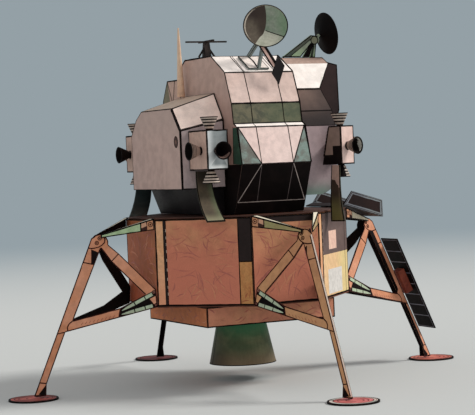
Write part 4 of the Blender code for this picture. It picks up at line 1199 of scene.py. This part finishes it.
class LANDER_OT_cheeks(bpy.types.Operator):
    """Print both side cheeks with their ink outlines, the oval port and the shaded front"""
    bl_idname = "lander.cheeks"
    bl_label = "Cheeks"

    left_side = -33.0

    def execute(self, context):
        self.left_cheek()
        self.right_cheek()
        return {"FINISHED"}

    def left_cheek(self):
        """Mauve side, bright slope, grey front and the heavy line along the front edge."""
        side = card("cheek_side", srgb(186, 160, 152), srgb(194, 166, 157), 0.35, patch=45.0,
                    fades=[(srgb(182, 162, 154), "z", 92.0, 104.0, 0.4)])
        bright = card("cheek_bright", srgb(252, 230, 220), srgb(244, 220, 208), 0.35, patch=50.0)
        grey = card("cheek_grey", colours().lilac, srgb(176, 164, 166), 0.7, patch=60.0)
        roof = card("cheek_roof", srgb(206, 184, 166), srgb(196, 170, 156), 0.6, patch=50.0)
        finish("cheek_left", side)
        sheet = Sheet("cheek_left_print")

        def choose(f):
            if f.normal.x < -0.9 or f.narrow:
                return None
            if f.normal.z > 0.9:
                return roof
            if f.normal.z > 0.3:
                return bright
            return grey if abs(f.normal.y) > 0.9 else None

        paint_faces(sheet, "cheek_left", choose)
        ink_folds(sheet, "cheek_left", pen("fold"), lambda f: abs(f.normal.x) < 0.9)
        ink_folds(sheet, "cheek_left", pen("fold", 0.55), lambda f: f.normal.x < -0.9)
        front = [(self.left_side, y, z) for y, z in ((-22.8, 76.1), (-22.8, 98.3),
                                                     (-15.5, 106.8))]
        for a, b in zip(front, front[1:]):
            sheet.line(a, b, (-1, 0, 0), pen("heavy", 1.6), inside=True)
            sheet.line(a, b, (0, -1, 0), pen("heavy"), lift=TOP_INK)
        self.port(sheet, -18.4, 94.1)
        sheet.done("ascent_stage")

    def port(self, sheet, y, z):
        """Small dark oval with a paler middle, on the side of the cheek."""
        dark = card("port_dark", srgb(84, 56, 50), srgb(60, 40, 38), 0.6)
        pale = card("port_pale", srgb(120, 88, 78))
        for radius, mat, lift in ((2.25, ink_card(), PRINT), (1.9, dark, OVER_PRINT),
                                  (0.8, pale, INK)):
            points = []
            for i in range(24):
                angle = math.tau * i / 24
                points.append((self.left_side, y + radius * 0.86 * math.cos(angle),
                               z + radius * math.sin(angle)))
            sheet.shape(points, (-1, 0, 0), mat, lift)

    def right_cheek(self):
        """Painted shade over the right cheek: dark upper part, lilac lower part that is the pink
        print in painted shade, and the dashed line beside the quad.
        """
        shade = card("cheek_shade", srgb(118, 97, 88), srgb(96, 78, 72), 0.6, patch=50.0,
                     fades=[(srgb(30, 20, 22), "z", 112.0, 99.5, 0.95),
                            (srgb(40, 28, 30), "x", 24.0, 33.0, 0.6)])
        # The lilac is the cheeks' pink print darkened as painted shade, and darker still outwards
        # along x.
        lilac = card("cheek_lilac_in_shade", srgb(190, 170, 174), srgb(178, 162, 170), 0.6, patch=50.0,
                     fades=[(srgb(112, 138, 128), "z", 79.0, 72.0, 0.9),
                            (srgb(120, 104, 110), "x", 25.0, 33.0, 0.5)])
        finish("cheek_right", lilac)
        sheet = Sheet("cheek_right_print")

        def choose(f):
            if f.centre.z > 98.4 and not f.narrow and f.normal.x < 0.9:
                return shade
            return None

        paint_faces(sheet, "cheek_right", choose)
        ink_folds(sheet, "cheek_right", pen("fold", 0.7),
                  lambda f: abs(f.normal.x) < 0.5 and f.centre.z > 80)
        front = (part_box("cheek_right")[0] / MM).y
        top, foot = Vector((30.2, front, 97.6)), Vector((27.6, front, 86.0))
        dashes = 9
        for i in range(dashes):
            sheet.line(top.lerp(foot, i / dashes), top.lerp(foot, (i + 0.8) / dashes),
                       (0, -1, 0), pen("fold"))
        sheet.done("ascent_stage")


class LANDER_OT_bays(bpy.types.Operator):
    """Print the right midsection, the tall dark bay and the rear bay"""
    bl_idname = "lander.bays"
    bl_label = "Midsection and bays"

    def execute(self, context):
        self.midsection()
        self.tank_bay()
        self.rear()
        return {"FINISHED"}

    def midsection(self):
        """White front panels with a small green wedge at their right edge."""
        white = card("mid_white", srgb(250, 244, 240), srgb(244, 234, 228), 0.5, patch=45.0)
        pink = card("mid_pink", srgb(178, 152, 140), srgb(168, 142, 132), 0.6)
        finish("midsection_right", pink)
        sheet = Sheet("midsection_print")
        paint_faces(sheet, "midsection_right",
                    lambda f: white if f.normal.y < -0.2 and f.centre.z < 122 else None)
        ink_folds(sheet, "midsection_right", pen("fold", 0.8))
        green = card("mid_green", srgb(120, 172, 150), srgb(100, 150, 130), 0.6)
        sheet.shape([(35.6, -8.9, 117.0), (38.9, -5.2, 121.2), (33.4, -11.2, 114.2)],
                    (0, -0.76, 0.65), green, OVER_PRINT)
        sheet.done("ascent_stage")

    def tank_bay(self):
        """Painted shade over the whole bay, darker downwards, with its folds inked."""
        finish("tank_bay_right", card("tank_bay_shade", srgb(62, 44, 43), srgb(46, 32, 32),
                                      0.7, patch=60.0,
                                      fades=[(srgb(30, 21, 22), "z", 118.0, 100.0, 0.7)]))
        sheet = Sheet("tank_bay_ink")
        ink_folds(sheet, "tank_bay_right", pen("fold", 0.8))
        sheet.done("ascent_stage")

    def rear(self):
        """Pale top, pinkish box and an olive wedge on each side of the rear bay."""
        olive = card("rear_olive", srgb(128, 120, 100), srgb(112, 112, 92), 0.7, patch=60.0)
        pinkish = card("rear_pink", srgb(196, 166, 152), srgb(186, 156, 144), 0.6, patch=50.0)
        pale = card("rear_pale", srgb(220, 214, 200), srgb(208, 200, 188), 0.5)
        finish("rear_bay", pinkish)
        sheet = Sheet("rear_bay_print")
        paint_faces(sheet, "rear_bay", lambda f: pale if f.normal.z > 0.9 else None)
        half = (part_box("rear_bay")[1] / MM).x
        for side in (-1, 1):
            out, x = (side, 0, 0), side * half
            sheet.shape([(x, 34.2, 111.3), (x, 29.3, 119.4), (x, 27.0, 111.0),
                         (x, 34.2, 98.0)], out, olive)
            for top, foot in ((29.3, 24.5), (21.8, 24.0)):
                sheet.line((x, top, 119.4), (x, foot, 110.2), out, pen("fold"))
        ink_folds(sheet, "rear_bay", pen("fold"))
        sheet.done("ascent_stage")


class LANDER_OT_quads(bpy.types.Operator):
    """Print the thruster boxes, band their nozzles and shade the plume deflectors"""
    bl_idname = "lander.quads"
    bl_label = "Thruster quads"

    # Length of a nozzle, radius of its neck, what its mouth adds, and the way in to its lining
    nozzle_long = 5.2
    nozzle_neck = 1.1
    nozzle_flare = 2.3
    lining_in = 0.38

    def execute(self, context):
        for place in ("front_left", "rear_left", "front_right", "rear_right"):
            self.quad(place)
            self.deflector(place)
        return {"FINISHED"}

    def quad(self, place):
        """Printed walls with inked folds, and the bands and mouths of the nozzles."""
        node = "thruster_quad_" + place
        pink = card("quad_pink", srgb(200, 170, 156), srgb(190, 160, 148), 0.6, patch=70.0)
        silver = card("quad_silver", srgb(150, 158, 160), srgb(126, 134, 138), 0.6, patch=80.0,
                      fades=[(srgb(240, 244, 244), "v", 0.36, 0.12, 0.8),
                             (srgb(226, 232, 234), "u", 0.4, 0.08, 0.8),
                             (srgb(70, 78, 80), "u", 0.62, 0.95, 0.6)], rough=0.42)
        white = card("quad_white", srgb(236, 208, 200), srgb(226, 196, 188), 0.6, patch=70.0)
        umber = card("quad_umber", srgb(142, 118, 108), srgb(128, 108, 100), 0.6, patch=70.0)
        prints = {"front_left": (silver, pink), "front_right": (white, umber)}
        front_print, side_print = prints.get(place, (pink, pink))
        finish(node, black_card())
        sheet = Sheet("quad_print_" + place)
        for facet in facets(node):
            if facet.area < 12 or facet.narrow:
                continue
            sheet.cover(facet, front_print if facet.normal.y < -0.9 else side_print)
            sheet.folds(facet, pen("fold", 1.15), sharp=1.0)
            if place == "front_right" and facet.normal.x < -0.9:
                self.dark_corner(sheet, facet)
        for facet in facets(node):
            is_mouth = facet.narrow and len(facet.points) > 30
            if is_mouth:
                self.nozzle(sheet, facet.centre, facet.normal, place)
        sheet.done("ascent_stage")

    def dark_corner(self, sheet, facet):
        """Black L shape at the foot of the turned box's side."""
        low = [p for p in facet.points if p.z < 84]
        near, far = sorted(low, key=lambda p: p.y)
        along = (far - near).normalized()
        for steps in (((0.0, 0.0), (4.2, 0.0), (4.2, 7.1), (0.0, 7.1)),
                      ((4.2, 0.0), (9.4, 0.0), (8.5, 3.7), (4.2, 3.7))):
            sheet.shape([near + along * d + UP * z for d, z in steps], facet.normal,
                        black_card(), OVER_PRINT)

    def nozzle(self, sheet, mouth, aim, place):
        """Bands round the outside of a nozzle, and the light in the mouths in front."""
        silver = card("nozzle_silver", srgb(196, 180, 168), srgb(156, 146, 138), 0.6,
                      patch=160.0, rough=0.4)
        dim = card("nozzle_dim", srgb(168, 142, 130), srgb(128, 112, 104), 0.7, patch=160.0)
        if abs(aim.z) > 0.5:
            mat, bands = silver, ((0.16, 0.3), (0.42, 0.54), (0.64, 0.75), (0.84, 0.93))
        else:
            mat, bands = dim, ((0.22, 0.56), (0.6, 0.7), (0.74, 0.83), (0.88, 0.96))
        for start, end in bands:
            self.band(sheet, mouth, aim, start, end, mat)
        if aim.y < -0.5:
            self.paint_mouth_highlight(sheet, mouth, aim, place == "front_right")

    def paint_mouth_highlight(self, sheet, mouth, aim, right):
        """Painted highlight: a paler crescent inside a nozzle's mouth, deepest at its middle angle.
        """
        light = card("mouth_highlight", srgb(186, 182, 172), srgb(150, 146, 138), 0.6)
        dull = card("mouth_dim_highlight", srgb(120, 96, 88))
        middle, reach, mat = (20, 75, light) if right else (-75, 60, dull)
        steps, edge = 12, 0.95
        for i in range(steps):
            angle = middle - reach + 2 * reach * i / steps
            deep = 0.3 * math.cos(math.radians((angle - middle) * 80 / reach))
            self.band(sheet, mouth, aim, edge - deep, edge, mat, True, math.radians(angle),
                      math.radians(2 * reach / steps), 1)

    def band(self, sheet, mouth, aim, start, end, mat, inside=False, first=0.0,
             turn=math.tau, steps=40):
        """Part of a nozzle's cone: start and end run from 0 at its neck to 1 at its mouth."""
        top = UP if abs(aim.z) < 0.5 else Vector((0.0, 1.0, 0.0))
        right = top.cross(aim)
        rails = []
        for i in range(steps + 1):
            angle = first + turn * i / steps
            spoke = right * math.cos(angle) + top * math.sin(angle)
            pair = []
            for share in (start, end):
                radius = self.nozzle_neck + self.nozzle_flare * share + PRINT
                if inside:
                    radius = (radius - self.lining_in) * 0.985 - PRINT * 2
                pair.append(mouth - aim * self.nozzle_long * (1 - share) + spoke * radius)
            rails.append(pair)
        for (a, b), (c, d) in zip(rails, rails[1:]):
            sheet.add_face([a, b, d, c] if inside else [a, c, d, b], mat)

    def deflector(self, place):
        """Hanging strip with its shaded print and an ink line along its edges and foot."""
        node = "plume_deflector_" + place
        if place.startswith("rear"):
            # Painted shade: the rear strips turn near black towards the body.
            out = -1 if place == "rear_left" else 1
            finish(node, card("strip_shade_" + place, srgb(60, 74, 74), srgb(44, 56, 58), 0.8,
                              patch=110.0,
                              fades=[(srgb(18, 19, 20), "x", out * 28.0, out * 21.5, 0.9)]))
        else:
            finish(node, card("strip_back", srgb(62, 60, 44), srgb(44, 42, 34), 0.7, patch=90.0))
        strip = Strip(node)
        sheet = Sheet("deflector_print_" + place)
        strip.patch(sheet, self.strip_print_in_light_and_shade(place))
        if place == "front_right":
            self.shoulder(sheet, strip)
        edge = pen("fold") / strip.wide
        strip.patch(sheet, ink_card(), lambda v: (0.0, edge), lift=INK)
        strip.patch(sheet, ink_card(), lambda v: (1.0 - edge, 1.0), lift=INK)
        strip.patch(sheet, ink_card(), lambda v: (0.0, 1.0), 0.0, 0.02, 2, lift=INK)
        sheet.done("ascent_stage")

    def shoulder(self, sheet, strip):
        """Umber print over the top of a strip, which narrows below in a rounded shoulder."""
        umber = card("strip_umber", srgb(176, 144, 132), srgb(160, 132, 122), 0.6)
        start, bend = 0.74, 0.1

        def edges(v):
            arch = max(0.0, 1.0 - max(0.0, start - v) / bend) ** 0.5
            return (0.45 + 0.35 * (1 - arch) if v < start else 0.0, 1.0)

        strip.patch(sheet, umber, edges, 0.6, 1.0, lift=OVER_PRINT)

    def strip_print_in_light_and_shade(self, place):
        """Strip print with painted shade above and painted light at the foot; each front one has
        its own.
        """
        if place == "front_left":
            return card("strip_front_left", srgb(92, 80, 64), srgb(72, 64, 52), 0.9, patch=150.0,
                        fades=[(srgb(96, 110, 80), "u", 0.5, 0.95, 0.6),
                               (srgb(48, 40, 34), "v", 0.55, 0.9, 0.9),
                               (srgb(140, 126, 108), "u", 0.12, 0.0, 0.6),
                               (srgb(140, 138, 112), "v", 0.17, 0.02, 0.8)])
        if place == "front_right":
            return card("strip_front_right", srgb(62, 48, 38), srgb(48, 36, 30), 0.8,
                        patch=120.0,
                        fades=[(srgb(112, 104, 62), "v", 0.55, 0.12, 0.85),
                               (srgb(120, 100, 84), "u", 0.7, 1.0, 0.6)])
        return card("strip_grey", srgb(66, 78, 72), srgb(42, 50, 46), 0.8, patch=90.0,
                    fades=[(srgb(96, 112, 96), "v", 0.4, 0.1, 0.6),
                           (srgb(28, 26, 26), "u", 0.55, 0.9, 0.9)])


class Strip:
    """Outer side of a hanging strip: u runs across from its left edge, v up from its foot."""

    def __init__(self, node):
        shown = [f for f in facets(node) if f.normal.z > 0.001 and not f.narrow]
        out = sum((f.normal for f in shown), Vector())
        self.out = Vector((out.x, out.y, 0.0)).normalized()
        across = Vector((-self.out.y, self.out.x, 0.0))
        self.rails = ([], [])
        for facet in shown:
            for point in facet.points:
                side = (point - facet.centre).dot(across) > 0
                self.rails[side].append(point)
        for rail in self.rails:
            rail.sort(key=lambda p: p.z)
        self.low, self.high = self.rails[0][0].z, self.rails[0][-1].z
        self.wide = (self.on_rail(1, 0.5) - self.on_rail(0, 0.5)).length

    def on_rail(self, side, v):
        z = self.low + (self.high - self.low) * v
        rail = self.rails[side]
        for below, above in zip(rail, rail[1:]):
            if above.z - below.z > 0.05 and z <= above.z:
                return below.lerp(above, max(0.0, (z - below.z) / (above.z - below.z)))
        return rail[-1].copy()

    def at(self, u, v, lift):
        here = self.on_rail(0, v).lerp(self.on_rail(1, v), u)
        return here + (self.out + UP * 0.3 * (1 - v)).normalized() * lift

    def patch(self, sheet, mat, edges=lambda v: (0.0, 1.0), start=0.0, end=1.0, steps=24,
              lift=PRINT):
        for i in range(steps):
            v0, v1 = (start + (end - start) * k / steps for k in (i, i + 1))
            corners = [(edges(v0)[0], v0), (edges(v0)[1], v0),
                       (edges(v1)[1], v1), (edges(v1)[0], v1)]
            face = sheet.add_face([self.at(u, v, lift) for u, v in corners], mat)
            for loop, uv in zip(face.loops, corners):
                loop[sheet.uv].uv = uv


class LANDER_OT_antennas(bpy.types.Operator):
    """Finish the pole, the cross, the radar dish on its stand and the steerable dish"""
    bl_idname = "lander.antennas"
    bl_label = "Antennas"

    # Angle of the seam between green and pale in degrees, and a height over the mount's arms
    seam = -27.0
    arm_top = 132.0

    def execute(self, context):
        finish("pole_antenna", card("pole_print", srgb(226, 196, 168), srgb(214, 172, 146), 0.6,
                                    patch=90.0,
                                    fades=[(srgb(176, 150, 122), "x", -17.0, -15.5, 0.6)]))
        finish("cross_antenna", card("cross_black", colours().black, srgb(60, 50, 46), 0.7,
                                     patch=180.0))
        finish("radar_brace", card("brace_black", srgb(14, 10, 11), srgb(30, 24, 25), 0.6))
        self.radar_plate()
        self.strap()
        self.dish("radar_dish", Vector((3.0, -26.0, 137.0)), Vector((-0.43, -0.86, 0.27)))
        self.dish("steerable_dish", Vector((46.4, 5.0, 136.4)), Vector((0.98, 0.06, 0.17)))
        self.mount()
        return {"FINISHED"}

    def radar_plate(self):
        """White base plate with its ink edge and the curved line between the two feet."""
        stand = card("stand_green", srgb(132, 142, 138), srgb(112, 122, 120), 0.6,
                     fades=[(srgb(96, 104, 98), "z", 130.0, 134.0, 0.6)])
        finish("radar_stand", stand)
        white = card("plate_white", srgb(244, 234, 228), srgb(232, 220, 212), 0.6,
                     fades=[(srgb(200, 190, 180), "x", -1.5, -4.0, 0.6)])
        sheet = Sheet("radar_plate_print")
        for facet in facets("radar_stand"):
            if facet.normal.z > 0.7 and facet.area > 15 and not facet.narrow:
                sheet.cover(facet, white)
                self.plate_lines(sheet, facet)
        ink_folds(sheet, "radar_stand", pen("fold", 0.6),
                  lambda f: abs(f.normal.x) > 0.9 and f.centre.z > 124.5)
        sheet.done("ascent_stage")

    def plate_lines(self, sheet, plate):
        """Lines of four widths along the plate's edges and a curve down its middle."""
        slope = -plate.normal.y / plate.normal.z

        def on_plate(x, y):
            return Vector((x, y, plate.centre.z + slope * (y - plate.centre.y)))

        left, right = min(p.x for p in plate.points), max(p.x for p in plate.points)
        low, high = min(p.y for p in plate.points), max(p.y for p in plate.points)
        for start, end, share in (((left, high), (left, low), 1.2),
                                  ((left, low), (right, low), 1.5),
                                  ((right, low), (right, high), 0.5),
                                  ((right, high), (left, high), 0.7)):
            sheet.line(on_plate(*start), on_plate(*end), plate.normal, pen("fold", share),
                       inside=True)
        curve, steps = [], 8
        for i in range(steps + 1):
            share = i / steps
            curve.append(on_plate(0.45 + 0.8 * math.sin(math.pi * share) * (1 - share),
                                  high - 0.9 + (low + 0.5 - high + 0.9) * share))
        for a, b in zip(curve, curve[1:]):
            sheet.line(a, b, plate.normal, pen("fold", 1.6), lift=TOP_INK)

    def strap(self):
        """Pink strap behind the diamond, with a heavy black edge on its right."""
        pink = card("strap_pink", srgb(190, 158, 148), srgb(176, 146, 136), 0.5)
        sheet = Sheet("radar_strap_print")
        for facet in facets("radar_brace"):
            if abs(facet.normal.y) < 0.5 or facet.narrow or abs(facet.normal.z) < 0.2:
                continue
            sheet.cover(facet, pink)
            for a, b in pairs(facet.points):
                if (a - b).length > 6:
                    right = (a.x + b.x) / 2 > facet.centre.x
                    wide = pen("fold", 2.6 if right else 0.8)
                    sheet.line(a, b, facet.normal, wide, inside=True)
        sheet.done("ascent_stage")

    def dish(self, node, centre, aim):
        """Cone dish: three tinted parts that meet below its tip, one of them painted shadow, a seam
        and a rim line.
        """
        finish(node, card("dish_outside", srgb(176, 160, 140), srgb(150, 136, 120), 0.6)
               if node == "radar_dish" else black_card())
        cup = DishFace(centre, aim.normalized())
        sheet = Sheet(node + "_print")
        self.tints(sheet, cup)
        self.seam_line(sheet, cup)
        self.rim_light(sheet, cup)
        sheet.ring(centre, aim, 8.3, 8.62, ink_card(), PRINT, steps=48)
        sheet.ring(centre, aim, 8.2, 8.4, ink_card(), PRINT, math.radians(-80),
                   math.radians(110), 24)
        sheet.done("ascent_stage", smooth=True)

    def tints(self, sheet, cup):
        """Green above, painted shadow on the left and pale below, each between two curved edges."""
        dark = card("dish_painted_shadow", srgb(104, 94, 82), srgb(76, 66, 58), 0.9, patch=150.0,
                    fades=[(srgb(50, 38, 36), "z", 137.5, 142.0, 0.9),
                           (srgb(66, 54, 48), "x", -1.0, 2.6, 0.8)])
        green = card("dish_green", srgb(146, 154, 140), srgb(118, 136, 116), 0.9, patch=170.0,
                     fades=[(srgb(102, 140, 102), "x", 6.0, 9.5, 0.5)])
        pale = card("dish_pale", srgb(196, 196, 180), srgb(164, 168, 150), 0.8, patch=150.0,
                    fades=[(srgb(136, 148, 128), "x", 5.0, 9.5, 0.7)])

        def upper(share):
            return 72.0 + 15.5 * share

        def lower(share):
            return 238.0 + 24.0 * max(0.0, 1 - share / 0.55) ** 1.3

        cup.sector(sheet, lambda t: self.seam, upper, green)
        cup.sector(sheet, upper, lower, dark)
        cup.sector(sheet, lambda t: lower(t) - 360.0, lambda t: self.seam, pale)

    def seam_line(self, sheet, cup):
        """Ink line of one width along the seam, from the meeting point to the rim."""
        half, steps = pen("fold", 0.42), 10
        for i in range(steps):
            start, end = i / steps, (i + 1) / steps
            corners = []
            for t, side in ((start, -1), (end, -1), (end, 1), (start, 1)):
                spread = math.degrees(side * half / max(cup.edge * t, 0.6))
                corners.append(cup.at(self.seam + spread, t, INK))
            sheet.add_face(corners, ink_card())

    def rim_light(self, sheet, cup):
        """Painted highlight: a thin pale crescent inside the rim at the upper left."""
        light = card("dish_rim_highlight", srgb(196, 186, 172))
        steps = 24
        for i in range(steps):
            first, last = (math.radians(117 + 105 * k / steps) for k in (i, i + 1))
            thin = 0.17 * math.sin(math.pi * (i + 0.5) / steps) + 0.03
            corners = []
            for angle, radius in ((first, 7.9 - thin), (first, 7.9 + thin),
                                  (last, 7.9 + thin), (last, 7.9 - thin)):
                corners.append(cup.place(radius * math.cos(angle), radius * math.sin(angle),
                                         INK))
            sheet.add_face(corners, light)

    def mount(self):
        """Three flat arms and the round end plate that carry the steerable dish."""
        green = card("mount_green", srgb(150, 160, 142), srgb(128, 140, 122), 0.7, patch=90.0,
                     fades=[(srgb(166, 194, 156), "z", 131.5, 127.0, 0.8)])
        deep = card("mount_deep", srgb(92, 92, 82), srgb(78, 86, 76), 0.7, patch=90.0,
                    fades=[(srgb(58, 76, 72), "z", 131.0, 127.0, 0.8)])
        moss = card("mount_moss", srgb(58, 68, 54), srgb(44, 52, 42), 0.7)
        finish("steerable_mount", green)
        sheet = Sheet("mount_print")
        front = (0, -1, 0)
        fronts = {}
        for facet in facets("steerable_mount"):
            if facet.normal.y < -0.95 and facet.area > 5 and not facet.narrow:
                fronts[round(facet.centre.y, 1)] = facet
        depths = sorted(fronts)
        arms = [depth for depth in depths[1:] if fronts[depth].centre.z < self.arm_top]
        near, middle, back = (fronts[depth] for depth in (depths[0], *arms[:2]))
        y = near.centre.y
        sheet.shape([(24.9, y, 126.8), (38.2, y, 135.6), (38.0, y, 133.9), (28.0, y, 126.8)],
                    front, deep, PRINT)
        sheet.line((28.0, y, 126.8), (38.0, y, 133.9), front, pen("fold", 0.6))
        sheet.outline(near.points, front, pen("fold"))
        sheet.shape(middle.points, front, black_card())
        y = back.centre.y
        sheet.shape([(38.9, y, 127.0), (40.0, y, 127.0), (41.1, y, 131.6), (40.4, y, 131.6)],
                    front, moss)
        sheet.outline(back.points, front, pen("fold", 0.7))
        hub = Vector((39.75, near.centre.y - 0.05, 133.55))
        disc = card("mount_disc", srgb(124, 126, 106), srgb(108, 112, 94), 0.6)
        sheet.ring(hub, front, 0.0, 1.45, disc, OVER_PRINT, steps=28)
        sheet.ring(hub, front, 1.4, 1.8, ink_card(), INK, steps=28)
        sheet.done("ascent_stage")


class DishFace:
    """Inside of a cone dish. Its tints meet a little below the tip, at angle 0 to the right."""

    meet = Vector((-0.41, -1.04))
    edge = 8.2
    deep = 3.0
    inner_tip = 0.54
    rise = 0.3

    def __init__(self, centre, aim):
        self.aim = aim
        self.right = UP.cross(aim).normalized()
        self.top = aim.cross(self.right)
        self.tip = centre - aim * self.deep
        self.slope = math.atan(self.rise)

    def place(self, x, y, lift):
        radius = math.hypot(x, y)
        spoke = (self.right * x + self.top * y) / max(radius, 1e-6)
        normal = self.aim * math.cos(self.slope) - spoke * math.sin(self.slope)
        ahead = self.inner_tip + self.rise * radius
        return self.tip + spoke * radius + self.aim * ahead + normal * lift

    def at(self, degrees, share, lift=PRINT):
        """Point on the way from the meeting point, at 0, to the rim, at 1."""
        way = Vector((math.cos(math.radians(degrees)), math.sin(math.radians(degrees))))
        along = self.meet.dot(way)
        reach = -along + math.sqrt(along ** 2 + self.edge ** 2 - self.meet.length_squared)
        spot = self.meet + way * reach * share
        return self.place(spot.x, spot.y, lift)

    def sector(self, sheet, first, last, mat):
        """Tinted part between two edges, each an angle that depends on the share."""
        rows, steps = 10, 16
        for j in range(rows):
            for i in range(steps):
                corners = []
                for t, k in ((j, i), (j + 1, i), (j + 1, i + 1), (j, i + 1)):
                    share = max(t / rows, 0.002)
                    angle = first(share) + (last(share) - first(share)) * k / steps
                    corners.append(self.at(angle, share))
                sheet.add_face(corners, mat)


# Stage


class LANDER_OT_stage(bpy.types.Operator):
    """Lay the floor, light the model softly and set the camera"""
    bl_idname = "lander.stage"
    bl_label = "Stage"

    def execute(self, context):
        self.floor()
        self.world()
        self.lamp()
        self.camera()
        bpy.context.scene.view_settings.view_transform = "Standard"
        return {"FINISHED"}

    def floor(self):
        """Plain round floor that fades into the backdrop far from the model."""
        stage = bpy.context.scene.lander_stage
        bm = bmesh.new()
        bmesh.ops.create_circle(bm, cap_ends=True, segments=96, radius=6.0)
        mesh = bpy.data.meshes.new("floor")
        bm.to_mesh(mesh)
        bm.free()
        floor = bpy.data.objects.new("floor", mesh)
        floor.location.z = -0.00002
        bpy.context.scene.collection.objects.link(floor)
        mat = bpy.data.materials.new("floor_paint")
        mat.use_nodes = True
        tree = mat.node_tree
        shader = tree.nodes["Principled BSDF"]
        shader.inputs["Base Color"].default_value = (*stage.floor, 1.0)
        shader.inputs["Roughness"].default_value = 0.9
        shader.inputs["Specular IOR Level"].default_value = 0.1
        place = add(tree, "ShaderNodeTexCoord").outputs["Object"]
        away = add(tree, "ShaderNodeVectorMath", {0: place}, operation="LENGTH")
        far = ranged(tree, away.outputs["Value"], 0.25, 1.3)
        path = add(tree, "ShaderNodeLightPath").outputs
        share = maths(tree, "MULTIPLY", far, path["Is Camera Ray"])
        glow = add(tree, "ShaderNodeEmission", {"Color": (*stage.backdrop, 1.0)})
        blend = add(tree, "ShaderNodeMixShader", {0: share})
        tree.links.new(shader.outputs[0], blend.inputs[1])
        tree.links.new(glow.outputs[0], blend.inputs[2])
        tree.links.new(blend.outputs[0], tree.nodes["Material Output"].inputs["Surface"])
        mesh.materials.append(mat)

    def world(self):
        """Even light from all round, with the plain backdrop where the camera sees it."""
        stage = bpy.context.scene.lander_stage
        world = bpy.data.worlds.new("studio")
        bpy.context.scene.world = world
        world.use_nodes = True
        tree = world.node_tree
        tree.nodes.clear()
        light = add(tree, "ShaderNodeBackground", {"Color": (1.0, 0.985, 0.965, 1.0),
                                                   "Strength": stage.fill})
        back = add(tree, "ShaderNodeBackground", {"Color": (*stage.backdrop, 1.0)})
        path = add(tree, "ShaderNodeLightPath").outputs
        seen = maths(tree, "MAXIMUM", path["Is Camera Ray"], path["Is Glossy Ray"])
        seen = maths(tree, "MAXIMUM", seen, path["Is Transmission Ray"])
        blend = add(tree, "ShaderNodeMixShader", {0: seen})
        tree.links.new(light.outputs[0], blend.inputs[1])
        tree.links.new(back.outputs[0], blend.inputs[2])
        out = add(tree, "ShaderNodeOutputWorld")
        tree.links.new(blend.outputs[0], out.inputs["Surface"])

    def lamp(self):
        """One wide soft sun, high on the right."""
        stage = bpy.context.scene.lander_stage
        data = bpy.data.lights.new("soft_lamp", "SUN")
        data.energy = stage.lamp
        data.angle = math.radians(16)
        data.color = (1.0, 0.96, 0.9)
        lamp = bpy.data.objects.new("soft_lamp", data)
        toward = Vector((0.86, -0.28, 0.72))
        lamp.rotation_mode = "QUATERNION"
        lamp.rotation_quaternion = toward.to_track_quat("Z", "Y")
        lamp.location = toward
        bpy.context.scene.collection.objects.link(lamp)

    def camera(self):
        """Camera of the photograph: its place and turns were fitted to the four pads."""
        azimuth, distance, height = math.radians(-25.809), 0.676, 0.08712
        swing, pitch, roll = 0.000644, 0.0288557, 0.0422775
        place = Vector((distance * math.sin(azimuth), -distance * math.cos(azimuth), height))
        forward = Vector((-math.sin(azimuth), math.cos(azimuth), 0.0))
        right = Vector((math.cos(azimuth), math.sin(azimuth), 0.0))
        forward, right = (forward * math.cos(swing) + right * math.sin(swing),
                          right * math.cos(swing) - forward * math.sin(swing))
        look = forward * math.cos(pitch) - UP * math.sin(pitch)
        head = UP * math.cos(pitch) + forward * math.sin(pitch)
        side = right * math.cos(roll) - head * math.sin(roll)
        head = head * math.cos(roll) + right * math.sin(roll)
        data = bpy.data.cameras.new("camera")
        data.sensor_width = 36.0
        data.lens = bpy.context.scene.lander_stage.lens
        data.clip_start, data.clip_end = 0.01, 20.0
        camera = bpy.data.objects.new("camera", data)
        bpy.context.scene.collection.objects.link(camera)
        turned = Matrix((side, head, -look)).transposed().to_4x4()
        turned.translation = place
        camera.matrix_world = turned
        bpy.context.scene.camera = camera


STEPS = (
    LANDER_OT_walls, LANDER_OT_deck, LANDER_OT_legs, LANDER_OT_outriggers, LANDER_OT_pads,
    LANDER_OT_porch, LANDER_OT_cabin, LANDER_OT_base, LANDER_OT_cheeks, LANDER_OT_bays,
    LANDER_OT_quads, LANDER_OT_antennas, LANDER_OT_stage,
)


class LANDER_PT_panel(bpy.types.Panel):
    """Lists the steps and settings of the lander"""
    bl_idname = "LANDER_PT_panel"
    bl_label = "Folded card lander"
    bl_space_type = "VIEW_3D"
    bl_region_type = "UI"
    bl_category = "Lander"

    def draw(self, context):
        for step in STEPS:
            self.layout.operator(step.bl_idname)
        for group in ("lander_colours", "lander_sizes", "lander_stage"):
            settings = getattr(context.scene, group)
            box = self.layout.box()
            for key in settings.__annotations__:
                box.prop(settings, key)


CLASSES = (LanderColours, LanderSizes, LanderStage, *STEPS, LANDER_PT_panel)


def register():
    for cls in CLASSES:
        bpy.utils.register_class(cls)
    bpy.types.Scene.lander_colours = PointerProperty(type=LanderColours)
    bpy.types.Scene.lander_sizes = PointerProperty(type=LanderSizes)
    bpy.types.Scene.lander_stage = PointerProperty(type=LanderStage)


def unregister():
    del bpy.types.Scene.lander_stage
    del bpy.types.Scene.lander_sizes
    del bpy.types.Scene.lander_colours
    for cls in reversed(CLASSES):
        bpy.utils.unregister_class(cls)


def main():
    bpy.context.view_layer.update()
    register()
    bpy.ops.lander.walls()
    bpy.ops.lander.deck()
    bpy.ops.lander.legs()
    bpy.ops.lander.outriggers()
    bpy.ops.lander.pads()
    bpy.ops.lander.porch()
    bpy.ops.lander.cabin()
    bpy.ops.lander.base()
    bpy.ops.lander.cheeks()
    bpy.ops.lander.bays()
    bpy.ops.lander.quads()
    bpy.ops.lander.antennas()
    bpy.ops.lander.stage()


if __name__ == "__main__":
    main()
